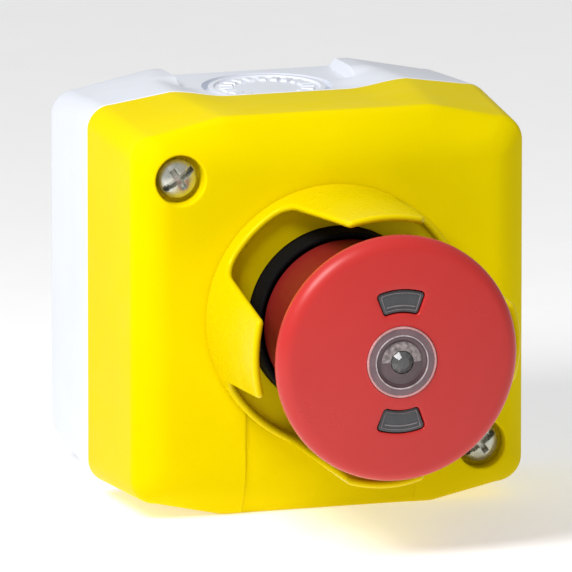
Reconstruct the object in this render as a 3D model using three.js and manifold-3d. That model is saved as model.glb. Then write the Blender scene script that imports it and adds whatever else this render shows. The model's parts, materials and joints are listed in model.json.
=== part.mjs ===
// Emergency stop control station: a surface-mount enclosure with a guarded mushroom head,
// its latching operator, two contact blocks and a light block.
// Millimetres, +Z up. The back face lies at Y = 0 and the head points to -Y.
// "Depth" below is the distance in front of the back face, so Y = -depth.
import * as THREE from "three";
import { mergeVertices } from "three/addons/utils/BufferGeometryUtils.js";
import Module from "manifold-3d";

const wasm = await Module();
wasm.setup();

// ---------- driving dimensions ----------
const GAP = 0.15; // between pieces that rest on each other
const RUN = 0.4; // round clearance of a piece that slides in a bore

// enclosure
const SPLIT = 25.2; // depth of the joint between rear case and cover
const COVER_DEPTH = 25; // from the joint to the cover's face
const FACE = SPLIT + COVER_DEPTH;
const CREASE_BACK = 2.85; // from the face back to the crease between side and chamfer
const WIDTH = 68;
const CASE_DRAFT = 0.5; // how much narrower each side is at the back
const COVER_DRAFT = 1; // how much narrower each side is at the crease
const SIDE_BEVEL = 3.6; // from the crease in to the face, on the left and right
const END_BEVEL = 5.5; // the same on the top and bottom
const SHOULDER_HEIGHT = 32.8; // half height at the shoulders of the top edge
const BACK_SHOULDER_DROP = 0.9; // how much lower the shoulders are at the back
const COVER_DIP = 1.2; // how far the middle of the top edge lies under the shoulders
const ENTRY_DROP = 2.5; // how far the cable-entry floor lies under the shoulders
const ENTRY_HALF_WIDTH = 14.4;
const ENTRY_LIP = 0.8; // thickness of the case's rim in front of the entry floor
const WALL = 2.8; // side walls
const ENTRY_WALL = 2.4; // under the cable-entry floor
const BACK_WALL = 2.6;
const FACE_WALL = 2.6;
const CASE_CORNER = 4; // outline corner radius
const CAVITY_CORNER = 3;
const BACK_ROUND = 3; // depth of the rounding round the back face
const BACK_ROUND_SHARE = 0.6; // of that depth by which the back face is drawn in
const SEAT_CUT = 1; // how far a cutting body runs past the face it cuts
const FACE_CORNER = 2.5;
const KNOCKOUT_RADIUS = 9.7;
const KNOCKOUT_GROOVE = 1;
const KNOCKOUT_GROOVE_DEPTH = 1.2;
const KNOCKOUT_DEPTH = 13.2; // of its centre
const SEAL_WIDTH = 0.9;
const SEAL_HEIGHT = 1.05;
const SEAL_SIDE_INSET = 1.1; // from the side of the case
const SEAL_END_INSET = 0.7; // from the cable-entry floor

// cover screws
const SCREW_INSET = 4; // of its axis from the edges of the face
const SCREW_HEAD_RADIUS = 3.3;
const SCREW_HEAD_HEIGHT = 2.5;
const SCREW_HEAD_SUNK = 1.1;
const SCREW_SHANK_RADIUS = 1.5;
const SCREW_LENGTH = 36;
const SCREW_POCKET_PLAY = 0.8;
const SCREW_POCKET_WALL = 1.2;
const BOSS_WALL = 2.9;
const BOSS_SHORT = 1; // of a boss's end behind the joint
const DRIVE_SLOT_WIDTH = 0.9;
const DRIVE_SLOT_DEPTH = 1;
const DRIVE_SLOT_ANGLE = 35;

// back wall
const MOUNT_SLOT_INSET = 5.8; // of its middle from the inside of the case
const MOUNT_SLOT_RADIUS = 2.15;
const MOUNT_SLOT_PLAY = 2.1; // how far a screw can shift each way along the slot
const MOUNT_BOSS_WALL = 2.2;
const BLOCK_RAIL_HEIGHT = 1.6;
const RAIL_Z = 10;
const RAIL_WIDTH = 2;

// legend panel sunk in the face under the guard
const LEGEND_HALF_WIDTH = 14.5;
const LEGEND_TOP = -12.4;
const LEGEND_SUNK = 0.4;

// guard
const GUARD_PLAY = 1.15; // round clearance between the head and the petals' tips
const GUARD_FLARE = 1; // how much wider the petals' tips are
const GUARD_WALL = 1.25;
const GUARD_HEIGHT = 30.2;
const GUARD_RIM_HEIGHT = 4.3;
const GUARD_FLOOR_TOP = 2.6;
const GUARD_SEAT = 1.7; // height of the floor where the operator's flange is let in
const PETAL_FOOT_ANGLE = 25;
const PETAL_TIP_ANGLE = 17;
const PETAL_CROWN = 0.5; // how much lower a petal's corners are than its middle

// operator
const BARREL_RADIUS = 11;
const BARREL_WALL = 2.8;
const BARREL_LENGTH = 19.5; // behind the face
const PANEL_HOLE_PLAY = 0.25;
const BEZEL_WALL = 0.7;
const BEZEL_OVER_SKIRT = 0.3; // of the bezel's top in front of the end of the head's skirt
const BEZEL_FLOOR = 0.8; // thickness of the flange
const BEZEL_CHAMFER = 0.3;
const BARREL_CHAMFER = 0.6;
const GASKET_WIDTH = 3.2;
const GASKET_THICKNESS = 0.6;
const NUT_WALL = 2.85;
const NUT_HEIGHT = 5.2;
const NUT_NOTCHES = 6;
const NUT_NOTCH_WIDTH = 3;
const NUT_NOTCH_DEPTH = 1.4;
const SPRING_WIRE = 1.2;
const SPRING_TURNS = 4.5;
const PRESS_TRAVEL = 4.5;
const LATCH_SLOPE = 0.2; // how fast the pawls move out as the head goes in
const SPINDLE_FLANGE_HEIGHT = 26;
const SPINDLE_FLANGE_THICKNESS = 2;
const SPINDLE_TOP = 34;
const PAWL_HEIGHT = 3;
const PAWL_HALF_WIDTH = 1.6;
const PAWL_TOP = -11;
const PAWL_SET_IN = 0.7; // of its inner end from the spindle's bore
const PLATE_RADIUS = 14;
const PLATE_THICKNESS = 2;
const SPINDLE_STAND = 1.4; // of the spindle's shoulder behind the barrel's end
const SPIGOT_RADIUS = 5.8; // of the spindle's end, which carries the pusher plate
const SPIGOT_SHORT = 0.4; // of its end inside the pusher plate's back

// mushroom head
const HEAD_RADIUS = 20;
const HEAD_FRONT = 38.3; // height of the dome above the face
const HEAD_RIM = 34.8; // height of its widest ring
const HEAD_EDGE = 2.5; // radius of its edge
const HEAD_EDGE_START = 83.5; // angle above the widest ring where the dome runs into the edge
const HEAD_EDGE_END = -70;
const HEAD_WALL = 2.3;
const SKIRT_ROOM = 2.8; // from the barrel's outside to the skirt's outside
const SKIRT_WALL = 1.8;
const LEDGE_WIDTH = 1.8; // of the ledge that rests on the spindle's flange
const LEDGE_HEIGHT = 1.2;
const RETAINER_WIDTH = 0.8;
const RETAINER_HEIGHT = 1.2;
const LENS_RADIUS = 5.8;
const LENS_STEM_RADIUS = 4.4;
const LENS_PLAY = 0.2;
const LENS_FLANGE = 1.5; // thickness of the lens's flange
const LENS_STAND = 0.8; // of the lens above the dome
const WINDOW_INNER = 8;
const WINDOW_OUTER = 11.6;
const WINDOW_HALF_ANGLE = 20;
const WINDOW_SUNK = 0.4;
const WINDOW_DEEP = 0.6; // how far a window reaches behind the inside of the cap's front
const INDICATOR_INNER = 7.4;
const INDICATOR_OUTER = 12.8;
const INDICATOR_THICKNESS = 1.2;
const INDICATOR_SET_BACK = 1.5; // behind the inside of the cap's front
const LIGHT_GUIDE_RADIUS = 3.2;

// blocks behind the operator
const BLOCK_WIDTH = 10;
const BLOCK_LENGTH = 42;
const BLOCK_SPACE = 0.6; // between two blocks
const PLATE_CLEARANCE = 0.85; // between a contact block and the pressed pusher plate
const LIGHT_BLOCK_SET_BACK = 5.8; // of its front behind the contact blocks' fronts
const STRIP_SUNK = 4.8; // of a strip's back below its block's front
const BLOCK_WALL = 1.4;
const PUSHER_RADIUS = 2.2;
const STRIP_WIDTH = 4.4;
const STRIP_THICKNESS = 0.8;
const STRIP_INNER = 4.4;
const STRIP_END_INSET = 1.6; // from the block's end
const TERMINAL_INSET = 4.6; // of its screw from the block's end
const TERMINAL_SCREW_RADIUS = 2.3;
const TERMINAL_SHANK_RADIUS = 1.2;
const LAMP_RADIUS = 2.5;
const CHAMBER_HALF = 9.2; // half length of a contact block's middle chamber
const CHAMBER_FLOOR_WALL = 1.2;
const CHAMBER_FRONT_WALL = 1.8;
const END_WALL = 1.8; // between the middle chamber and a terminal chamber
const BRIDGE_THICKNESS = 1;
const BRIDGE_OVERHANG = 2.6; // of a contact bridge past the inner ends of its strips
const CONTACT_SPRING_RADIUS = 2;
const CONTACT_SPRING_WIRE = 0.5;
const CONTACT_SPRING_TURNS = 5;
const PUSHER_PLAY = 0.3; // between a pusher's end and the pusher plate

// ---------- colours: [sRGB, roughness, metalness] ----------
const LOOK = {
  yellow: [0xf2d800, 0.4, 0],
  paleGrey: [0xe9edf2, 0.45, 0],
  red: [0xc8332f, 0.35, 0],
  black: [0x1c1d1f, 0.5, 0],
  blackRubber: [0x161616, 0.85, 0],
  nickel: [0xb9b9a8, 0.35, 1],
  steel: [0xa9adb2, 0.3, 1],
  brass: [0xc7a45a, 0.35, 1],
  clear: [0xd9d4d0, 0.1, 0],
  smoke: [0x77716e, 0.25, 0],
  white: [0xf0f0ec, 0.5, 0],
  grey: [0x9b9ea3, 0.5, 0],
  green: [0x2f7d4a, 0.5, 0],
};

const group = new THREE.Group();

function add(name, solid, look) {
  const [color, roughness, metalness] = LOOK[look];
  const material = new THREE.MeshStandardMaterial({ color, roughness, metalness });
  const mesh = new THREE.Mesh(geometryOf(solid), material);
  mesh.name = name;
  group.add(mesh);
}

// ---------- solids ----------
function geometryOf(solid) {
  const { vertProperties, triVerts } = solid.getMesh();
  const geometry = new THREE.BufferGeometry();
  geometry.setAttribute("position", new THREE.Float32BufferAttribute(vertProperties, 3));
  geometry.setIndex([...triVerts]);
  const faceted = geometry.toNonIndexed();
  faceted.computeVertexNormals();
  return faceted;
}

// A closed geometry as a manifold solid, facing out whichever way it was wound.
function solidOf(geometry) {
  const bare = geometry.clone();
  bare.deleteAttribute("normal");
  bare.deleteAttribute("uv");
  const merged = mergeVertices(bare, 1e-4);
  const index = merged.index.array;
  const kept = [];
  for (let i = 0; i < index.length; i += 3) {
    const [a, b, c] = [index[i], index[i + 1], index[i + 2]];
    if (a !== b && b !== c && c !== a) kept.push(a, b, c);
  }
  const position = merged.attributes.position;
  if (signedVolume(position, kept) < 0) kept.reverse();
  return new wasm.Manifold(
    new wasm.Mesh({
      numProp: 3,
      vertProperties: new Float32Array(position.array),
      triVerts: new Uint32Array(kept),
    }),
  );
}

function signedVolume(position, index) {
  const [a, b, c] = [new THREE.Vector3(), new THREE.Vector3(), new THREE.Vector3()];
  let total = 0;
  for (let i = 0; i < index.length; i += 3) {
    a.fromBufferAttribute(position, index[i]);
    b.fromBufferAttribute(position, index[i + 1]);
    c.fromBufferAttribute(position, index[i + 2]);
    total += a.dot(b.cross(c));
  }
  return total;
}

// A turned piece about the depth axis through (x, z); the profile holds [radius, depth] points.
function turned(profile, segments = 48, x = 0, z = 0) {
  const closed = profile[0][0] === 0 ? profile : [...profile, profile[0]];
  const points = closed.map(([radius, depth]) => new THREE.Vector2(radius, -depth));
  const geometry = new THREE.LatheGeometry(points, segments);
  geometry.translate(x, 0, z);
  return solidOf(geometry);
}

function disc(radius, low, high, segments = 32, x = 0, z = 0) {
  return turned([[0, low], [radius, low], [radius, high], [0, high]], segments, x, z);
}

function ring(inner, outer, low, high, segments = 48) {
  return turned([[inner, low], [outer, low], [outer, high], [inner, high]], segments);
}

function box(x, depth, z, width, thickness, height) {
  const geometry = new THREE.BoxGeometry(width, thickness, height);
  geometry.translate(x, -depth, z);
  return solidOf(geometry);
}

// A box from one depth to another.
function slab(x, z, width, height, low, high) {
  return box(x, (low + high) / 2, z, width, high - low, height);
}

// A shape drawn in x and z, made solid from one depth to another.
function prism(shape, low, high, curveSegments = 8) {
  const settings = { depth: high - low, bevelEnabled: false, curveSegments };
  const geometry = new THREE.ExtrudeGeometry(shape, settings);
  geometry.rotateX(Math.PI / 2);
  geometry.translate(0, -low, 0);
  return solidOf(geometry);
}

// A body through a row of closed outlines with the same number of points, capped at both ends.
function loft(outlines) {
  const count = outlines[0].length;
  const vertices = outlines.flat().flatMap((p) => [p.x, p.y, p.z]);
  const index = [];
  for (let s = 0; s + 1 < outlines.length; s++)
    for (let i = 0; i < count; i++) {
      const j = (i + 1) % count;
      const [a, b] = [s * count + i, s * count + j];
      index.push(a, b, b + count, a, b + count, a + count);
    }
  const last = (outlines.length - 1) * count;
  for (const [start, flip] of [[0, false], [last, true]]) {
    const middle = vertices.length / 3;
    const y = outlines[start / count][0].y;
    vertices.push(0, y, 0);
    for (let i = 0; i < count; i++) {
      const [a, b] = [start + i, start + ((i + 1) % count)];
      index.push(...(flip ? [middle, a, b] : [middle, b, a]));
    }
  }
  const geometry = new THREE.BufferGeometry();
  geometry.setAttribute("position", new THREE.Float32BufferAttribute(vertices, 3));
  geometry.setIndex(index);
  return solidOf(geometry);
}

// A round-wire compression spring along the depth axis through x.
function spring(x, radius, wire, low, high, turns, stepsPerTurn, sides) {
  const bottom = low + wire / 2;
  const rise = high - low - wire;
  class Helix extends THREE.Curve {
    getPoint(t, target = new THREE.Vector3()) {
      const angle = t * turns * 2 * Math.PI;
      return target.set(x + radius * Math.cos(angle), -(bottom + t * rise), radius * Math.sin(angle));
    }
  }
  const section = new THREE.Shape();
  for (let i = 0; i < sides; i++) {
    const angle = (i / sides) * 2 * Math.PI;
    const [u, v] = [(wire / 2) * Math.cos(angle), (wire / 2) * Math.sin(angle)];
    if (i === 0) section.moveTo(u, v);
    else section.lineTo(u, v);
  }
  const settings = { steps: Math.round(turns * stepsPerTurn), extrudePath: new Helix() };
  return solidOf(new THREE.ExtrudeGeometry(section, settings));
}

// ---------- sizes that follow from the driving ones ----------
const SPLIT_HALF_WIDTH = WIDTH / 2;
const BACK_HALF_WIDTH = SPLIT_HALF_WIDTH - CASE_DRAFT;
const CREASE_HALF_WIDTH = SPLIT_HALF_WIDTH - COVER_DRAFT;
const FACE_HALF_WIDTH = CREASE_HALF_WIDTH - SIDE_BEVEL;
const FACE_HALF_HEIGHT = SHOULDER_HEIGHT - END_BEVEL;
const CREASE = FACE - CREASE_BACK;
const ENTRY_FLOOR = SHOULDER_HEIGHT - ENTRY_DROP; // half height at the cable-entry floor
const CASE_INSIDE_X = BACK_HALF_WIDTH - WALL;
const CASE_INSIDE_Z = ENTRY_FLOOR - ENTRY_WALL;

const SCREW_X = FACE_HALF_WIDTH - SCREW_INSET;
const SCREW_Z = FACE_HALF_HEIGHT - SCREW_INSET;
const SCREW_SEAT = FACE - SCREW_HEAD_SUNK - SCREW_HEAD_HEIGHT;
const SCREW_POINT = SCREW_SEAT - SCREW_LENGTH;
const SCREW_CORNERS = [[-1, 1], [1, -1]];
const MOUNT_SLOT_X = CASE_INSIDE_X - MOUNT_SLOT_INSET;
const MOUNT_SLOT_Z = CASE_INSIDE_Z - MOUNT_SLOT_INSET;

const BARREL_BORE = BARREL_RADIUS - BARREL_WALL;
const SPINDLE_RADIUS = BARREL_BORE - RUN;
const SPINDLE_BORE = LIGHT_GUIDE_RADIUS + RUN;
const SKIRT_RADIUS = BARREL_RADIUS + SKIRT_ROOM;
const SKIRT_INSIDE = SKIRT_RADIUS - SKIRT_WALL;
const BEZEL_BORE = SKIRT_RADIUS + RUN;
const BEZEL_RADIUS = BEZEL_BORE + BEZEL_WALL;
const GASKET_OUTER = BARREL_RADIUS + RUN + GASKET_WIDTH;
const GUARD_RADIUS = HEAD_RADIUS + GUARD_PLAY + GUARD_WALL - GUARD_FLARE;

// heights above the face
const FLANGE_BACK = GUARD_SEAT + GAP;
const FLANGE_TOP = FLANGE_BACK + BEZEL_FLOOR;
const SKIRT_END = FLANGE_TOP + PRESS_TRAVEL + 2 * GAP;
const BEZEL_TOP = SKIRT_END + BEZEL_OVER_SKIRT;
const SPINDLE_END = -BARREL_LENGTH - SPINDLE_STAND;
const PLATE_TOP = SPINDLE_END - GAP;
const PLATE_BACK = PLATE_TOP - PLATE_THICKNESS;
const CAP_INSIDE = HEAD_FRONT - HEAD_WALL;
const INDICATOR_TOP = CAP_INSIDE - INDICATOR_SET_BACK;
const LENS_SEAT = HEAD_FRONT - LENS_FLANGE;
const PAWL_INNER = SPINDLE_BORE + PAWL_SET_IN;
const PAWL_OUTER = SPINDLE_RADIUS + 0.05;

// depths of the blocks
const BLOCK_PITCH = BLOCK_WIDTH + BLOCK_SPACE;
const RAIL_TOP = BACK_WALL + BLOCK_RAIL_HEIGHT;
const BLOCK_BACK = RAIL_TOP + GAP;
const CONTACT_BLOCK_FRONT = FACE + PLATE_BACK - PRESS_TRAVEL - PLATE_CLEARANCE;
const LIGHT_BLOCK_FRONT = CONTACT_BLOCK_FRONT - LIGHT_BLOCK_SET_BACK;
const STRIP_BACK = CONTACT_BLOCK_FRONT - STRIP_SUNK;
const LIGHT_STRIP_BACK = LIGHT_BLOCK_FRONT - STRIP_SUNK;
const STRIP_OUTER = BLOCK_LENGTH / 2 - STRIP_END_INSET;
const TERMINAL_Z = BLOCK_LENGTH / 2 - TERMINAL_INSET;
const PUSHER_TOP = FACE + PLATE_BACK - PUSHER_PLAY;
const CHAMBER_FLOOR = BLOCK_BACK + CHAMBER_FLOOR_WALL;
const CHAMBER_FRONT = CONTACT_BLOCK_FRONT - CHAMBER_FRONT_WALL;

// ---------- the enclosure's outline ----------
const lerp = THREE.MathUtils.lerp;
const smooth = (low, high, value) => THREE.MathUtils.smoothstep(value, low, high);

// A section has its half width, its shoulders and how the top edge runs on both sides of them.
const splitSection = {
  halfWidth: SPLIT_HALF_WIDTH,
  shoulder: SHOULDER_HEIGHT,
  shoulderX: 20,
  fall: 0.151,
  dip: COVER_DIP,
  corner: CASE_CORNER,
};
const creaseSection = {
  halfWidth: CREASE_HALF_WIDTH,
  shoulder: SHOULDER_HEIGHT + 0.05,
  shoulderX: 17.6,
  fall: 0.2254,
  dip: 0,
  corner: CASE_CORNER + 0.3,
};
const backSection = {
  halfWidth: BACK_HALF_WIDTH,
  shoulder: SHOULDER_HEIGHT - BACK_SHOULDER_DROP,
  shoulderX: 16.5,
  fall: 0.207,
  dip: 0,
  corner: CASE_CORNER,
};
const faceSection = {
  halfWidth: FACE_HALF_WIDTH,
  shoulder: FACE_HALF_HEIGHT,
  shoulderX: 17.6,
  fall: 0,
  dip: 0,
  corner: FACE_CORNER,
};

function between(a, b, t) {
  const keys = Object.keys(a);
  return Object.fromEntries(keys.map((key) => [key, lerp(a[key], b[key], t)]));
}

function edgeHeight(section, x) {
  const dip = section.dip * (1 - smooth(10, 20, x));
  return section.shoulder - dip - section.fall * Math.max(0, x - section.shoulderX);
}

// The rear case's top edge also sinks to the cable-entry floor in the middle: between straight
// walls at the back, and over a wide smooth valley towards the cover.
function entryHeight(section, x, depth) {
  const open = edgeHeight({ ...section, dip: 0 }, x);
  const valley = smooth(10, 14, depth);
  const wall = smooth(ENTRY_HALF_WIDTH, ENTRY_HALF_WIDTH + 0.5, x);
  const slope = smooth(10.8, 20, x);
  return lerp(ENTRY_FLOOR, open, lerp(wall, slope, valley));
}

const EDGE_XS = [0, 5, 10, 12.2, 14.4, 14.9, 16.8, 20, 24];
const CORNER_STEPS = 4;
const BACK_STEPS = 2;

// One quarter of an outline from the middle of the top edge to the side, mirrored four ways.
function outline(section, depth, height = edgeHeight) {
  const cornerX = section.halfWidth - section.corner;
  const scale = Math.min(1, (cornerX - 0.6) / EDGE_XS.at(-1));
  const quarter = EDGE_XS.map((x) => [x * scale, height(section, x * scale, depth)]);
  const cornerTop = height(section, cornerX, depth);
  for (let i = 0; i <= CORNER_STEPS; i++) {
    const angle = (i / CORNER_STEPS) * (Math.PI / 2);
    const x = cornerX + section.corner * Math.sin(angle);
    quarter.push([x, cornerTop - section.corner * (1 - Math.cos(angle))]);
  }
  const point = ([x, z], sx, sz) => new THREE.Vector3(sx * x, -depth, sz * z);
  const upper = quarter.slice(1).map((p) => point(p, 1, 1));
  const right = [point(quarter[0], 1, 1), ...upper];
  const lowerRight = [...quarter].reverse().map((p) => point(p, 1, -1));
  const lowerLeft = quarter.slice(1).map((p) => point(p, -1, -1));
  const upperLeft = [...quarter].reverse().slice(0, -1).map((p) => point(p, -1, 1));
  return [...right, ...lowerRight, ...lowerLeft, ...upperLeft];
}

function roundedRectangle(halfWidth, halfHeight, corner) {
  const shape = new THREE.Shape();
  const [w, h, r] = [halfWidth, halfHeight, corner];
  shape.moveTo(w - r, -h);
  shape.absarc(w - r, -h + r, r, -Math.PI / 2, 0);
  shape.absarc(w - r, h - r, r, 0, Math.PI / 2);
  shape.absarc(-w + r, h - r, r, Math.PI / 2, Math.PI);
  shape.absarc(-w + r, -h + r, r, Math.PI, 1.5 * Math.PI);
  return shape;
}

// ---------- enclosure pieces ----------
function sealOutline(grow) {
  const halfWidth = SPLIT_HALF_WIDTH - SEAL_SIDE_INSET;
  const halfHeight = ENTRY_FLOOR - SEAL_END_INSET;
  const corner = CASE_CORNER - SEAL_SIDE_INSET;
  const outer = roundedRectangle(halfWidth + grow, halfHeight + grow, corner + grow);
  const inset = SEAL_WIDTH + grow;
  const cornerInside = corner - inset;
  outer.holes.push(roundedRectangle(halfWidth - inset, halfHeight - inset, cornerInside));
  return outer;
}

function rearCase() {
  const sections = [];
  for (let i = 0; i <= BACK_STEPS; i++) {
    const angle = (i / BACK_STEPS) * (Math.PI / 2);
    const inset = BACK_ROUND * BACK_ROUND_SHARE * (1 - Math.sin(angle));
    const [halfWidth, shoulder] = [BACK_HALF_WIDTH - inset, backSection.shoulder - inset];
    sections.push([{ ...backSection, halfWidth, shoulder }, BACK_ROUND * (1 - Math.cos(angle))]);
  }
  const floorEnd = SPLIT - ENTRY_LIP;
  for (const depth of [10, 12, 14, floorEnd])
    sections.push([between(backSection, splitSection, depth / SPLIT), depth]);
  const entry = (section, x, depth) => Math.min(entryHeight(section, x, depth), section.shoulder);
  const outlines = sections.map(([section, depth]) => outline(section, depth, entry));
  outlines.push(outline(splitSection, floorEnd + 0.05));
  outlines.push(outline(splitSection, SPLIT - GAP / 2));
  let body = loft(outlines);

  const cavity = roundedRectangle(CASE_INSIDE_X, CASE_INSIDE_Z, CAVITY_CORNER);
  body = body.subtract(prism(cavity, BACK_WALL, SPLIT + SEAT_CUT));
  for (const [sx, sz] of SCREW_CORNERS) {
    const [x, z] = [sx * SCREW_X, sz * SCREW_Z];
    const bossRadius = SCREW_SHANK_RADIUS + BOSS_WALL;
    body = body.add(disc(bossRadius, BACK_WALL / 2, SPLIT - BOSS_SHORT, 24, x, z));
    const hole = disc(SCREW_SHANK_RADIUS + GAP, SCREW_POINT - SEAT_CUT, SPLIT, 20, x, z);
    body = body.subtract(hole);
  }
  for (const side of [-1, 1]) {
    const boss = mountSlot(side, MOUNT_SLOT_RADIUS + MOUNT_BOSS_WALL);
    body = body.add(prism(boss, BACK_WALL / 2, RAIL_TOP));
    const slot = mountSlot(side, MOUNT_SLOT_RADIUS);
    body = body.subtract(prism(slot, -SEAT_CUT, RAIL_TOP + SEAT_CUT));
    const rail = slab(0, side * RAIL_Z, 3 * BLOCK_PITCH + 2, RAIL_WIDTH, BACK_WALL / 2, RAIL_TOP);
    body = body.add(rail);
    body = body.subtract(knockoutGroove(side));
  }
  return body.subtract(prism(sealOutline(GAP), SPLIT - SEAL_HEIGHT - GAP, SPLIT + SEAT_CUT, 4));
}

// A slot with round ends along x for a mounting screw, in one of two opposite corners.
function mountSlot(side, radius) {
  const [x, z] = [side * MOUNT_SLOT_X, side * MOUNT_SLOT_Z];
  const shape = new THREE.Shape();
  shape.absarc(x + MOUNT_SLOT_PLAY, z, radius, -Math.PI / 2, Math.PI / 2, false);
  shape.absarc(x - MOUNT_SLOT_PLAY, z, radius, Math.PI / 2, 1.5 * Math.PI, false);
  return shape;
}

// The round groove that leaves a disc to be knocked out for a cable gland, on the top or bottom.
function knockoutGroove(side) {
  const [inner, outer] = [KNOCKOUT_RADIUS, KNOCKOUT_RADIUS + KNOCKOUT_GROOVE];
  const [low, high] = [ENTRY_FLOOR - KNOCKOUT_GROOVE_DEPTH, ENTRY_FLOOR + 6];
  const points = [[inner, low], [outer, low], [outer, high], [inner, high], [inner, low]];
  const geometry = new THREE.LatheGeometry(points.map(([r, h]) => new THREE.Vector2(r, h)), 40);
  geometry.rotateX((side * Math.PI) / 2);
  geometry.translate(0, -KNOCKOUT_DEPTH, 0);
  return solidOf(geometry);
}

function frontCover() {
  const outlines = [
    outline(splitSection, SPLIT + GAP / 2),
    outline(between(splitSection, creaseSection, 0.35), lerp(SPLIT, CREASE, 0.35)),
    outline(between(splitSection, creaseSection, 0.7), lerp(SPLIT, CREASE, 0.7)),
    outline(creaseSection, CREASE),
    outline(faceSection, FACE),
  ];
  let body = loft(outlines);
  const cavity = roundedRectangle(CREASE_HALF_WIDTH - WALL, CASE_INSIDE_Z, CAVITY_CORNER);
  body = body.subtract(prism(cavity, SPLIT - SEAT_CUT, FACE - FACE_WALL));
  const pocket = SCREW_HEAD_RADIUS + SCREW_POCKET_PLAY;
  for (const [sx, sz] of SCREW_CORNERS) {
    const [x, z] = [sx * SCREW_X, sz * SCREW_Z];
    body = body.add(disc(pocket + SCREW_POCKET_WALL, SPLIT + GAP, FACE - FACE_WALL / 2, 28, x, z));
    body = body.subtract(disc(pocket, SCREW_SEAT - GAP, FACE + SEAT_CUT, 28, x, z));
    body = body.subtract(disc(SCREW_SHANK_RADIUS + RUN, SPLIT - SEAT_CUT, FACE, 20, x, z));
  }
  const holeRadius = BARREL_RADIUS + PANEL_HOLE_PLAY;
  body = body.subtract(disc(holeRadius, FACE - FACE_WALL - SEAT_CUT, FACE + SEAT_CUT, 40));
  const height = LEGEND_TOP + SHOULDER_HEIGHT;
  const z = LEGEND_TOP - height / 2;
  const legend = slab(0, z, 2 * LEGEND_HALF_WIDTH, height, FACE - LEGEND_SUNK, FACE + SEAT_CUT);
  return body.subtract(legend);
}

function coverSeal() {
  return prism(sealOutline(0), SPLIT - SEAL_HEIGHT, SPLIT, 4);
}

function coverScrew(x, z) {
  const [seat, top] = [SCREW_SEAT, SCREW_SEAT + SCREW_HEAD_HEIGHT];
  const [head, shank] = [SCREW_HEAD_RADIUS, SCREW_SHANK_RADIUS];
  const profile = [
    [0, SCREW_POINT], [shank * 0.6, SCREW_POINT], [shank, SCREW_POINT + 1], [shank, seat],
    [head, seat], [head, top - 0.9], [head * 0.86, top - 0.25], [head * 0.6, top], [0, top],
  ];
  const screw = turned(profile, 18, x, z);
  const [width, angle] = [DRIVE_SLOT_WIDTH, DRIVE_SLOT_ANGLE];
  const slot = driveSlot(x, z, head * 1.8, width, angle, top);
  const cross = driveSlot(x, z, head * 1.1, width, angle + 90, top);
  return screw.subtract(slot).subtract(cross);
}

// A bar that cuts a drive slot across a screw's head.
function driveSlot(x, z, length, width, degrees, top) {
  const geometry = new THREE.BoxGeometry(length, 2 * DRIVE_SLOT_DEPTH, width);
  geometry.rotateY(-THREE.MathUtils.degToRad(degrees));
  geometry.translate(x, -top, z);
  return solidOf(geometry);
}

// ---------- guard ----------
const ringDegrees = (angle) => {
  const inQuarter = ((angle % 90) + 90) % 90;
  return Math.min(inQuarter, 90 - inQuarter); // from the middle of the nearest petal
};

function guardHeight(degrees) {
  const angle = ringDegrees(degrees);
  const crown = GUARD_HEIGHT - PETAL_CROWN * (angle / PETAL_TIP_ANGLE) ** 2;
  if (angle <= PETAL_TIP_ANGLE) return crown;
  const along = (angle - PETAL_TIP_ANGLE) / (PETAL_FOOT_ANGLE - PETAL_TIP_ANGLE);
  return along >= 1 ? GUARD_RIM_HEIGHT : lerp(GUARD_HEIGHT - PETAL_CROWN, GUARD_RIM_HEIGHT, along);
}

const guardRadiusAt = (height) => GUARD_RADIUS + (GUARD_FLARE * height) / GUARD_HEIGHT;

function guard() {
  const boreRadius = BARREL_RADIUS + RUN;
  const gasketRoom = GASKET_OUTER + RUN;
  const underside = GAP + GASKET_THICKNESS + GAP;
  const seatRadius = BEZEL_RADIUS + GAP;
  const quarter = [0, 6, 12, 16, 17, 19, 21, 23, 25, 30, 37.5, 45];
  const steps = [];
  for (let q = 0; q < 4; q++) {
    for (const a of quarter) steps.push(q * 90 + a);
    for (const a of quarter.slice(1, -1).reverse()) steps.push(q * 90 + 90 - a);
  }
  const sections = steps.map((degrees) => {
    const top = guardHeight(degrees);
    const profile = [
      [boreRadius, underside], [gasketRoom, underside], [gasketRoom, GAP],
      [guardRadiusAt(GAP), GAP], [guardRadiusAt(top), top],
      [guardRadiusAt(top) - GUARD_WALL, top],
      [guardRadiusAt(GUARD_FLOOR_TOP) - GUARD_WALL, GUARD_FLOOR_TOP],
      [seatRadius, GUARD_FLOOR_TOP], [seatRadius, GUARD_SEAT], [boreRadius, GUARD_SEAT],
    ];
    const angle = THREE.MathUtils.degToRad(degrees);
    const [c, s] = [Math.cos(angle), Math.sin(angle)];
    return profile.map(([r, h]) => new THREE.Vector3(r * c, -(FACE + h), r * s));
  });
  return closedLoop(sections);
}

// A ring-shaped body through sections that come back to the first one.
function closedLoop(sections) {
  const count = sections[0].length;
  const vertices = sections.flat().flatMap((p) => [p.x, p.y, p.z]);
  const index = [];
  for (let s = 0; s < sections.length; s++) {
    const next = (s + 1) % sections.length;
    for (let i = 0; i < count; i++) {
      const j = (i + 1) % count;
      const [a, b] = [s * count + i, s * count + j];
      const [c, d] = [next * count + j, next * count + i];
      index.push(a, b, c, a, c, d);
    }
  }
  const geometry = new THREE.BufferGeometry();
  geometry.setAttribute("position", new THREE.Float32BufferAttribute(vertices, 3));
  geometry.setIndex(index);
  return solidOf(geometry);
}

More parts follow.
